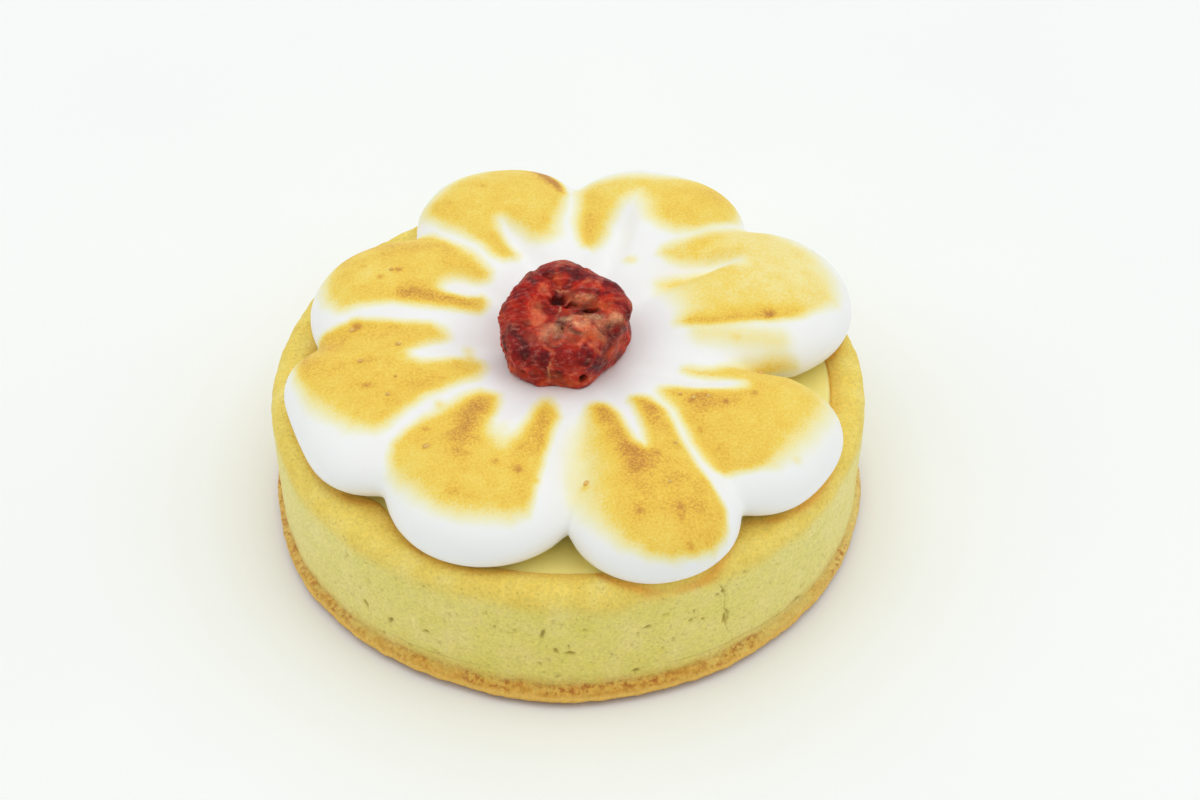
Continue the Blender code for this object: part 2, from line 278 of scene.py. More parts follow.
# %% [markdown]
# ## The crust's form
# A shortcrust shell is lined into a ring and baked, so its wall is straight and slightly rough, its rim was
# trimmed with a knife and rounded in the oven, and the disc under it sticks out as a foot, whose edge bulges
# like a bun and draws in underneath. The section is carried round the axis, as on a lathe. Its points lie
# closer together on the rim, wall and foot, which are seen, than on the floor and underside.

# %% Section of the crust
RIM_HEIGHT = 20.0
WALL_RADIUS_LOW = 39.8
WALL_RADIUS_HIGH = 40.5
WALL_THICKNESS = 4.4
RIM_CREST_DROP = 2.0  # from the outer edge of the rim in to its crest
RIM_INNER_DROP = 0.9
RIM_ROUNDING = 2.1
RIM_INNER_ROUNDING = 0.5
FLOOR_THICKNESS = 4.0
FLOOR_FILLET = 2.0
FOOT_RADIUS = 41.0
FOOT_HEIGHT = 2.7
FOOT_BULGE = 1.3  # the disc's edge bulges out like a bun
FOOT_WIDEST = 1.65  # the height at which it is widest
FOOT_UNDERCUT = 1.6  # the disc shrank from the tray, so its edge stands clear of the table
INNER_RADIUS = WALL_RADIUS_LOW - WALL_THICKNESS
CREST_RADIUS = WALL_RADIUS_HIGH - RIM_CREST_DROP
HIDDEN_SPACING = 6.0
SEEN_SPACING = 0.27


def arc(centre, radius, start, end, steps=9):
    """Points (r, z) along a round corner, from one angle to another in degrees."""
    angles = np.radians(np.linspace(start, end, steps))
    return [(centre[0] + radius * math.cos(a), centre[1] + radius * math.sin(a)) for a in angles]


def spaced(points, spacing):
    """A line (r, z) walked again in even steps of about the spacing."""
    points = np.array(points)
    length = np.concatenate([[0.0], np.linalg.norm(np.diff(points, axis=0), axis=1).cumsum()])
    steps = np.linspace(0.0, length[-1], max(2, round(length[-1] / spacing) + 1))
    return np.stack([np.interp(steps, length, points[:, i]) for i in (0, 1)], axis=1)


def rim_height(radius):
    """The height of the rim's upper side at each radius, and 0 inside the wall: a parabola that falls from
    the crest to the inner edge."""
    inside = RIM_HEIGHT - RIM_INNER_DROP * ((CREST_RADIUS - radius) / (CREST_RADIUS - INNER_RADIUS)) ** 2
    return np.where(radius < INNER_RADIUS, 0.0, np.where(radius < CREST_RADIUS, inside, RIM_HEIGHT))


def crust_section():
    """The section from the axis over the floor, up the inner wall, over the rim, down to the foot and back
    underneath."""
    edge = INNER_RADIUS + RIM_INNER_ROUNDING
    inner_corner = (edge, RIM_HEIGHT - RIM_INNER_DROP - RIM_INNER_ROUNDING)
    outer_corner = (WALL_RADIUS_HIGH - RIM_ROUNDING, RIM_HEIGHT - RIM_ROUNDING)
    floor = [(0.0, FLOOR_THICKNESS)]
    floor += arc((INNER_RADIUS - FLOOR_FILLET, FLOOR_THICKNESS + FLOOR_FILLET), FLOOR_FILLET, -90.0, 0.0, 3)
    rim = arc(inner_corner, RIM_INNER_ROUNDING, 180.0, 115.0)
    rim += [(r, float(rim_height(r))) for r in np.linspace(edge, CREST_RADIUS, 9)]
    rim += arc(outer_corner, RIM_ROUNDING, 75.0, 0.0)
    foot = [(WALL_RADIUS_LOW, FOOT_HEIGHT)]
    for angle in np.radians(np.linspace(60.0, -15.0, 9)):
        half_height = FOOT_HEIGHT - FOOT_WIDEST if angle > 0.0 else FOOT_WIDEST
        drawn_in = FOOT_BULGE * (1.0 - math.cos(angle))
        foot += [(FOOT_RADIUS - drawn_in, FOOT_WIDEST + half_height * math.sin(angle))]
    contact = (FOOT_RADIUS - FOOT_UNDERCUT, 0.0)
    stretches = [
        spaced(floor, HIDDEN_SPACING),
        spaced(rim, SEEN_SPACING),
        spaced([rim[-1], foot[0]], SEEN_SPACING)[1:],
        spaced(foot, SEEN_SPACING)[1:],
        spaced([foot[-1], contact], 2.0 * SEEN_SPACING)[1:],
        spaced([contact, (0.0, 0.0)], HIDDEN_SPACING)[1:],
    ]
    return np.concatenate(stretches)


section = crust_section()
print("Section of the crust:", len(section), "points")

# %% [markdown]
# ## The crust's relief
# Baked pastry is never as round as the ring. The rim and the foot get the same slow waves as the solids.
# Over them come the marks of this crust: soft dents from the fingers that lined the ring, fine crumb, pits
# where steam came out, the seam where the strip of pastry was joined, and the crease where the wall was
# pressed onto the disc. Pits as wide as a pinhead are real hollows. Finer pores are left to the material.

# %% Waves and marks of the crust
CRUST_COLUMNS = 880
FOOT_PUSHED_FORWARD = 0.35
# Waves round the crust, each with how many there are, their height in mm and their phase in radians.
OUTLINE_WAVES = ((2, 0.16, 0.7), (5, 0.10, 2.1))
FOOT_WAVES = ((7, 0.07, 0.4), (12, 0.05, 1.9), (23, 0.03, 5.0))
RIM_WAVES = ((3, 0.14, 1.0), (7, 0.10, 4.0))
# Where the rim was pressed wider on its inner side: azimuth, half width in degrees, and how far in mm.
RIM_PRESSED = (
    (222.0, 8.0, 2.1), (268.0, 14.0, 0.5), (313.5, 6.5, 2.1), (60.0, 12.0, 0.4), (150.0, 25.0, 0.5),
)
RIM_THICKER = 0.10
RIM_INNER_RANGE = (RIM_HEIGHT - 4.0, RIM_HEIGHT - 2.0)  # the heights over which that pressing comes in
FOOT_PULLED_IN = 0.45  # the disc sticks out less at both sides than in front
# The pits that catch the eye: azimuth (degrees), height, half length, half width and lean (degrees).
NAMED_PITS = (
    (265.2, 12.8, 1.15, 0.3, 80.0), (267.8, 9.6, 0.45, 0.28, 100.0), (270.2, 9.1, 0.75, 0.36, 15.0),
    (284.9, 12.8, 0.7, 0.26, 10.0), (288.3, 14.5, 0.45, 0.22, 20.0), (293.6, 12.2, 0.45, 0.26, 30.0),
    (296.1, 11.4, 0.36, 0.3, 0.0), (298.7, 15.3, 0.36, 0.26, 60.0), (299.7, 16.4, 0.8, 0.2, 100.0),
    (301.0, 9.7, 1.15, 0.38, 85.0), (233.7, 7.1, 0.75, 0.34, 60.0), (227.6, 7.5, 0.85, 0.28, 110.0),
    (242.0, 8.2, 0.55, 0.3, 20.0), (223.8, 15.0, 0.6, 0.2, 70.0), (283.0, 4.4, 0.6, 0.3, 10.0),
    (321.0, 3.6, 0.5, 0.26, 30.0),
)
PIT_DEPTH = 0.6
PIT_FULL_WIDTH = 0.3  # narrower pits are shallower as well
PIT_SPREAD = math.radians(3.5)  # no pit reaches further round the wall
PIT_EDGES = (((0.22, 0.7, 58),), ((0.22, 0.7, 59),))  # noise that moves their edges round and up
PIT_SEED = 11
PIT_COUNT = 600
SEAM_AZIMUTH = 301.2
SEAM_TOP = 19.0
SEAM_FOOT = 5.5
SEAM_WIDTH = 0.17
# The crease over the foot: stretches of azimuth, and the height at each one's start and end.
CREASES = (
    (231.0, 258.0, 4.1, 4.6), (286.0, 326.0, 4.9, 3.0), (30.0, 75.0, 4.6, 4.2), (120.0, 170.0, 4.3, 4.9),
)
CREASE_WIDTH = 0.20
CREASE_FADE = 4.0  # degrees over which a crease starts and ends


def waves(azimuth, rows):
    """The sum of waves round the Z axis in mm: each row is (how many, height, phase)."""
    return sum(height * np.sin(count * azimuth + phase) for count, height, phase in rows)


def scattered_pits():
    """Rows like those of the named pits, drawn with a seed. Small ones are far more common than large."""
    draw = np.random.default_rng(PIT_SEED)
    azimuth = draw.uniform(0.0, 360.0, PIT_COUNT)
    height = draw.uniform(FOOT_HEIGHT + 0.6, RIM_HEIGHT - 2.4, PIT_COUNT)
    width = 0.12 + 0.15 * draw.power(0.4, PIT_COUNT)
    length = width * draw.uniform(1.0, 2.3, PIT_COUNT)
    lean = draw.uniform(0.0, 180.0, PIT_COUNT)
    return np.stack([azimuth, height, length, width, lean], axis=1)


def pit_depths(azimuth, height, pits):
    """How deep the pits are at each point, from 0 to 1: the deepest of the bells exp(-d^2), where d is the
    distance from a pit's middle in its own half length and half width."""
    deepest = np.zeros_like(azimuth)
    for middle, level, length, width, lean in pits:
        near = np.abs(wrapped(azimuth - math.radians(middle))) < PIT_SPREAD
        aside = WALL_RADIUS_HIGH * wrapped(azimuth[near] - math.radians(middle))
        above = height[near] - level
        cosine = math.cos(math.radians(lean))
        sine = math.sin(math.radians(lean))
        hollowed = bell(aside * cosine + above * sine, length) * bell(above * cosine - aside * sine, width)
        deepest[near] = np.maximum(deepest[near], hollowed * min(1.0, width / PIT_FULL_WIDTH))
    return deepest


def pressed_inwards(azimuth):
    """How much further in than the ring's own thickness the rim reaches, in mm: a bell at each place."""
    total = np.full_like(azimuth, RIM_THICKER)
    for middle, half_width, reach in RIM_PRESSED:
        total += reach * bell(wrapped(azimuth - math.radians(middle)), math.radians(half_width))
    return total


def crust_form(azimuth, radius, height):
    """The turned section pushed out and lifted by the same waves as the solid's."""
    outer = smooth_step(radius, INNER_RADIUS - 0.3 * WALL_THICKNESS, INNER_RADIUS + 0.4 * WALL_THICKNESS)
    foot = 1.0 - smooth_step(height, 0.5 * FOOT_HEIGHT, 1.15 * FOOT_HEIGHT)
    push = radius + outer * (waves(azimuth, OUTLINE_WAVES) + foot * waves(azimuth, FOOT_WAVES))
    inner_edge = smooth_step(height, *RIM_INNER_RANGE)
    inner_edge *= 1.0 - smooth_step(radius, INNER_RADIUS + 0.2, CREST_RADIUS)
    push -= inner_edge * pressed_inwards(azimuth)
    lift = waves(azimuth, RIM_WAVES) * smooth_step(height, 0.6 * RIM_HEIGHT, RIM_HEIGHT)
    push -= FOOT_PULLED_IN * outer * foot * np.cos(azimuth) ** 2
    forward = FOOT_PUSHED_FORWARD * outer * foot
    return np.stack([push * np.cos(azimuth), push * np.sin(azimuth) - forward, height + lift])


def seam_depth(azimuth, height):
    """The joint of the pastry strip: a thin upright groove that wanders a little and fades at its ends."""
    wander = 0.5 * np.sin(0.55 * height) + 0.25 * np.sin(1.7 * height)
    aside = WALL_RADIUS_HIGH * wrapped(azimuth - math.radians(SEAM_AZIMUTH)) + wander
    return band(height, SEAM_FOOT, SEAM_FOOT + 2.0, SEAM_TOP - 1.0, SEAM_TOP) * bell(aside, SEAM_WIDTH)


def crease_depth(azimuth, height):
    """The crease between wall and disc: a thin level groove over each stretch of azimuth."""
    deepest = np.zeros_like(azimuth)
    degrees = np.degrees(azimuth) % 360.0
    for start, end, first, last in CREASES:
        line = first + (last - first) * (degrees - start) / (end - start) + 0.05 * np.sin(degrees / 2.3)
        span = band(degrees, start, start + CREASE_FADE, end - CREASE_FADE, end)
        deepest = np.maximum(deepest, span * bell(height - line, CREASE_WIDTH))
    return deepest


# %% [markdown]
# ## The curd's form
# The curd was poured in and set, so it is a level pool that climbs a little where it clings to the wall. It
# touches the wall all round, and only its top can be seen between the petals.

# %% Level of the curd
CURD_LEVEL = 18.9
CURD_MENISCUS = 0.35
CURD_MENISCUS_WIDTH = 2.5
CURD_COLUMNS = 360
CURD_REACH = INNER_RADIUS + 0.35  # a little into the uneven wall, so that no gap shows
CURD_BRIM = INNER_RADIUS + 0.3  # where the curd runs out on the rim's inner edge
TOUCH_GAP = 0.03  # left between pieces that touch


def curd_height(radius):
    """The level of the curd, which climbs a little where it meets the wall."""
    return CURD_LEVEL + CURD_MENISCUS * bell(CURD_BRIM - radius, CURD_MENISCUS_WIDTH)


# %% [markdown]
# ## The meringue's form
# The flower was piped as eight blobs, and each blob was dragged in towards the middle, which left a groove
# between two ridges. Each petal is a field: a number for every point in space that is positive inside the
# petal. Seen from above its outline is a drop, and each section is a superellipse. Where two petals meet,
# a soft maximum of their fields runs them together with a narrow crease, as real meringue does. The skin is
# found by following rays out from a level disc inside the flower until the field turns negative.

# %% Petals of the meringue
MERINGUE_MIDDLE = 23.2  # height at which a petal is widest
PETAL_RISE = 5.9
PETAL_FALL = 5.3
PETAL_ROUNDNESS = 2.1
PETAL_WAIST = 0.26
PETAL_BLEND_LENGTH = 6.0
HUB_RADIUS = 15.0
HUB_RISE = 2.9
HUB_SQUARENESS = 4
SEAT_LEVEL = 26.6  # the top of the hub under the fruit
SEAT_RADIUS = 8.0
SEAT_CURVATURE = 0.06
SEAT_FILLET = 0.7
GROOVE_DEPTH = 2.4
GROOVE_WIDTH_OUTER = 1.5
GROOVE_WIDTH_INNER = 3.4
GROOVE_FADE = 7.0
GROOVE_LOWEST_SHARE = 0.4  # how far up a petal's back the groove has its full depth
CREASE_FILLETS = (1.0, 0.35)  # the fillets between petals towards the middle and out at the tips
CREASE_RADII = (8.0, 30.0)  # the radii at which they have these sizes
BEND_START = 12.0
BEND_END = 34.0
LONGEST_REACH = 45.0
THICKEST = 14.0
EDGE_ROUNDING = 5.2
BACK_SHARE = 0.62
SIDE_SHARE = 0.24
HALVINGS = 22
FRUIT_MIDDLE = (-0.5, 0.1)

Petal = namedtuple("Petal", "tip root reach half_width square groove_root groove_tip groove_end")
# One row for each petal, from the right-hand back one on, anticlockwise seen from above: its direction at
# the tip and at the middle (degrees), reach and half width, how square its tip is, its groove's direction at
# the middle and at its end, and where the groove ends.
PETALS = (
    Petal(25.5, 21.0, 41.7, 14.0, 2.1, 55.0, 36.0, 32.0),
    Petal(66.5, 73.0, 41.4, 13.3, 2.4, 72.0, 73.5, 31.0),
    Petal(108.0, 107.0, 40.9, 12.6, 2.1, 105.0, 111.0, 28.0),
    Petal(155.0, 144.0, 38.0, 14.0, 2.0, 130.0, 143.0, 24.0),
    Petal(200.5, 190.0, 38.7, 14.2, 3.2, 178.0, 184.5, 22.0),
    Petal(245.0, 245.0, 39.1, 13.1, 2.0, 237.0, 240.0, 20.0),
    Petal(291.3, 299.0, 41.5, 11.4, 2.1, 305.0, 297.0, 23.0),
    Petal(328.5, 328.0, 40.1, 12.1, 2.4, 329.0, 341.0, 25.0),
)


def petal_field(x, y, z, petal):
    """How deep a point lies inside one petal, about in mm: 1 minus the distance from its middle line, in
    superellipses. The groove lifts the point, which lowers the petal's back along a line."""
    radius = np.hypot(x, y)
    azimuth = np.arctan2(y, x)
    bend = smooth_step(radius, BEND_START, BEND_END)
    off_axis = wrapped(azimuth - np.radians(petal.root + (petal.tip - petal.root) * bend))
    along = radius * np.cos(off_axis)
    across = radius * np.sin(off_axis)
    tip_centre = petal.reach - petal.half_width
    share = PETAL_WAIST + (1.0 - PETAL_WAIST) * np.clip(along / tip_centre, 0.0, 1.0)
    past = np.maximum(along - tip_centre, 0.0) + np.minimum(along, 0.0)
    plan = superellipse(np.abs(across), np.abs(past), petal.square) / (petal.half_width * share)
    turn = np.clip(radius / petal.groove_end, 0.0, 1.0)
    line = np.radians(petal.groove_root + (petal.groove_tip - petal.groove_root) * turn)
    off_groove = radius * np.sin(wrapped(azimuth - line))
    groove_width = np.interp(radius, (0.0, petal.groove_end), (GROOVE_WIDTH_INNER, GROOVE_WIDTH_OUTER))
    groove = GROOVE_DEPTH * bell(off_groove, groove_width)
    groove *= 1.0 - smooth_step(radius, petal.groove_end - GROOVE_FADE, petal.groove_end)
    height = z - MERINGUE_MIDDLE
    height = height + groove * smooth_step(height, 0.0, GROOVE_LOWEST_SHARE * PETAL_RISE)
    section = np.where(height > 0.0, height / PETAL_RISE, -height / PETAL_FALL)
    return PETAL_BLEND_LENGTH * (1.0 - superellipse(plan, section, PETAL_ROUNDNESS))


def hub_field(x, y, z):
    """How deep a point lies inside the low round middle of the flower, about in mm."""
    height = z - MERINGUE_MIDDLE
    section = np.where(height > 0.0, height / HUB_RISE, -height / PETAL_FALL)
    return PETAL_BLEND_LENGTH * (1.0 - superellipse(np.hypot(x, y) / HUB_RADIUS, section, HUB_SQUARENESS))


def meringue_field(x, y, z):
    """Petals and hub run together: the soft maximum f log(sum of exp(depth / f)), with a wider fillet f
    towards the middle."""
    fillet = np.interp(np.hypot(x, y), CREASE_RADII, CREASE_FILLETS)
    depths = np.stack([petal_field(x, y, z, petal) for petal in PETALS] + [hub_field(x, y, z)])
    highest = depths.max(axis=0)
    return highest + fillet * np.log(np.exp((depths - highest) / fillet).sum(axis=0))


# %% Skin of the meringue
MERINGUE_COLUMNS = 720
BACK_ROWS = 88
SIDE_ROWS = 30
UNDER_ROWS = 12


def reach_along(start, heading, longest):
    """How far the meringue goes from each start point along its heading, by halving the interval."""
    low = np.zeros(start.shape[1:])
    high = np.full(start.shape[1:], longest)
    for _ in range(HALVINGS):
        middle = (low + high) / 2.0
        inside = meringue_field(*(start + middle * heading)) > 0.0
        low = np.where(inside, middle, low)
        high = np.where(inside, high, middle)
    return (low + high) / 2.0


def meringue_surface(azimuth, path):
    """The point of the skin for an azimuth and a path from 0 on top, over the back and round the side, to 1
    underneath. Rays leave a level disc: upwards over it, fanning out round its edge, and downwards."""
    flat = np.stack([np.cos(azimuth), np.sin(azimuth), np.zeros_like(azimuth)])
    level = np.zeros_like(flat)
    level[2] = MERINGUE_MIDDLE
    one_row = reach_along(level[:, :1], flat[:, :1], LONGEST_REACH)
    disc_radius = np.broadcast_to(one_row - EDGE_ROUNDING, azimuth.shape)
    below = (1.0 - path) / (1.0 - BACK_SHARE - SIDE_SHARE)
    share = np.clip(np.where(path < BACK_SHARE, path / BACK_SHARE, below), 0.0, 1.0)
    turn = np.pi / 2 - np.pi * np.clip((path - BACK_SHARE) / SIDE_SHARE, 0.0, 1.0)
    start = level + flat * disc_radius * share
    heading = flat * np.cos(turn)
    heading[2] = np.sin(turn)
    return start + heading * reach_along(start, heading, THICKEST)


def seated(point):
    """The skin pressed down under the fruit, and kept just clear of the rim and the curd below."""
    from_fruit = np.hypot(point[0] - FRUIT_MIDDLE[0], point[1] - FRUIT_MIDDLE[1])
    seat = SEAT_LEVEL + SEAT_CURVATURE * np.maximum(from_fruit - SEAT_RADIUS, 0.0) ** 2
    pressed = point.copy()
    pressed[2] = seat - SEAT_FILLET * np.logaddexp(0.0, (seat - point[2]) / SEAT_FILLET)
    radius = np.hypot(point[0], point[1])
    support = np.maximum(rim_height(radius), curd_height(radius)) + TOUCH_GAP
    pressed[2] = np.maximum(pressed[2], support)
    return pressed


path = np.concatenate([
    np.linspace(0.0, BACK_SHARE, BACK_ROWS, endpoint=False),
    np.linspace(BACK_SHARE, BACK_SHARE + SIDE_SHARE, SIDE_ROWS, endpoint=False),
    np.linspace(BACK_SHARE + SIDE_SHARE, 1.0, UNDER_ROWS),
])
azimuth, path = round_grid(MERINGUE_COLUMNS, path)
meringue_points = seated(meringue_surface(azimuth, path))
print("Meringue's back:", round(float(meringue_points[2].max()), 1), "mm above the table")

# %% [markdown]
# ## Hand-made unevenness of the meringue
# The piping bag leaves long soft swells, and the skin that dried in the flame is a touch wrinkled. Both are
# shallow, and they are left out where the meringue touches the pastry.

# %% Swells of the meringue
SWELL = (0.22, 9.0, 21)  # height, wavelength and seed
RIPPLE = (0.06, 3.2, 22)
CLEAR_OF_CRUST = (RIM_HEIGHT + 0.4, RIM_HEIGHT + 2.4)  # the heights over which the swells come in
RELAXED_RADIUS = 26.0  # inside it the foam was soft enough to close sharp folds
FULLY_RELAXED_RADIUS = 14.3
RELAX_SHARE = 0.8
RELAX_ROUNDS = 120


def relaxed(points, share, rounds):
    """Sharp folds let down: in each round every point moves towards the mean of its four neighbours, by a
    share of the way that is its own."""
    for _ in range(rounds):
        around = (np.roll(points, 1, axis=2) + np.roll(points, -1, axis=2)) / 2.0
        mean = around.copy()
        mean[:, 1:-1] = (around[:, 1:-1] + (points[:, :-2] + points[:, 2:]) / 2.0) / 2.0
        points = points + share * (mean - points)
    return points


flat_radius = np.hypot(meringue_points[0], meringue_points[1])
soft_share = RELAX_SHARE * (1.0 - smooth_step(flat_radius, FULLY_RELAXED_RADIUS, RELAXED_RADIUS))
soft_share *= smooth_step(meringue_points[2], MERINGUE_MIDDLE, MERINGUE_MIDDLE + 1.0)
soft_share[0] = 0.0
meringue_points = relaxed(meringue_points, soft_share, RELAX_ROUNDS)
normals = outward(meringue_points)
swell = layered_noise(meringue_points, (SWELL, RIPPLE)) * smooth_step(meringue_points[2], *CLEAR_OF_CRUST)
meringue_points = meringue_points + normals * swell

# %% [markdown]
# ## Where the torch browned the flower
# The flame came from above, so it browned the backs of the petals and left their sides, the creases and the
# grooves white. On each petal the browned patch is a blob with two legs that run in on both sides of the
# groove. Its outline is a closed line of measured corners. The distance of each point of the skin from that
# line, positive inside, is turned into browning by a fade whose width changes along the line: a crease throws
# a sharp shadow, a rounded side a soft one. The amount is kept on the mesh for the material. The darkest
# places are the crests of the ridges and some spots where the flame stayed longer.

# %% Outlines of the browned patches
Torch = namedtuple("Torch", "level outline")
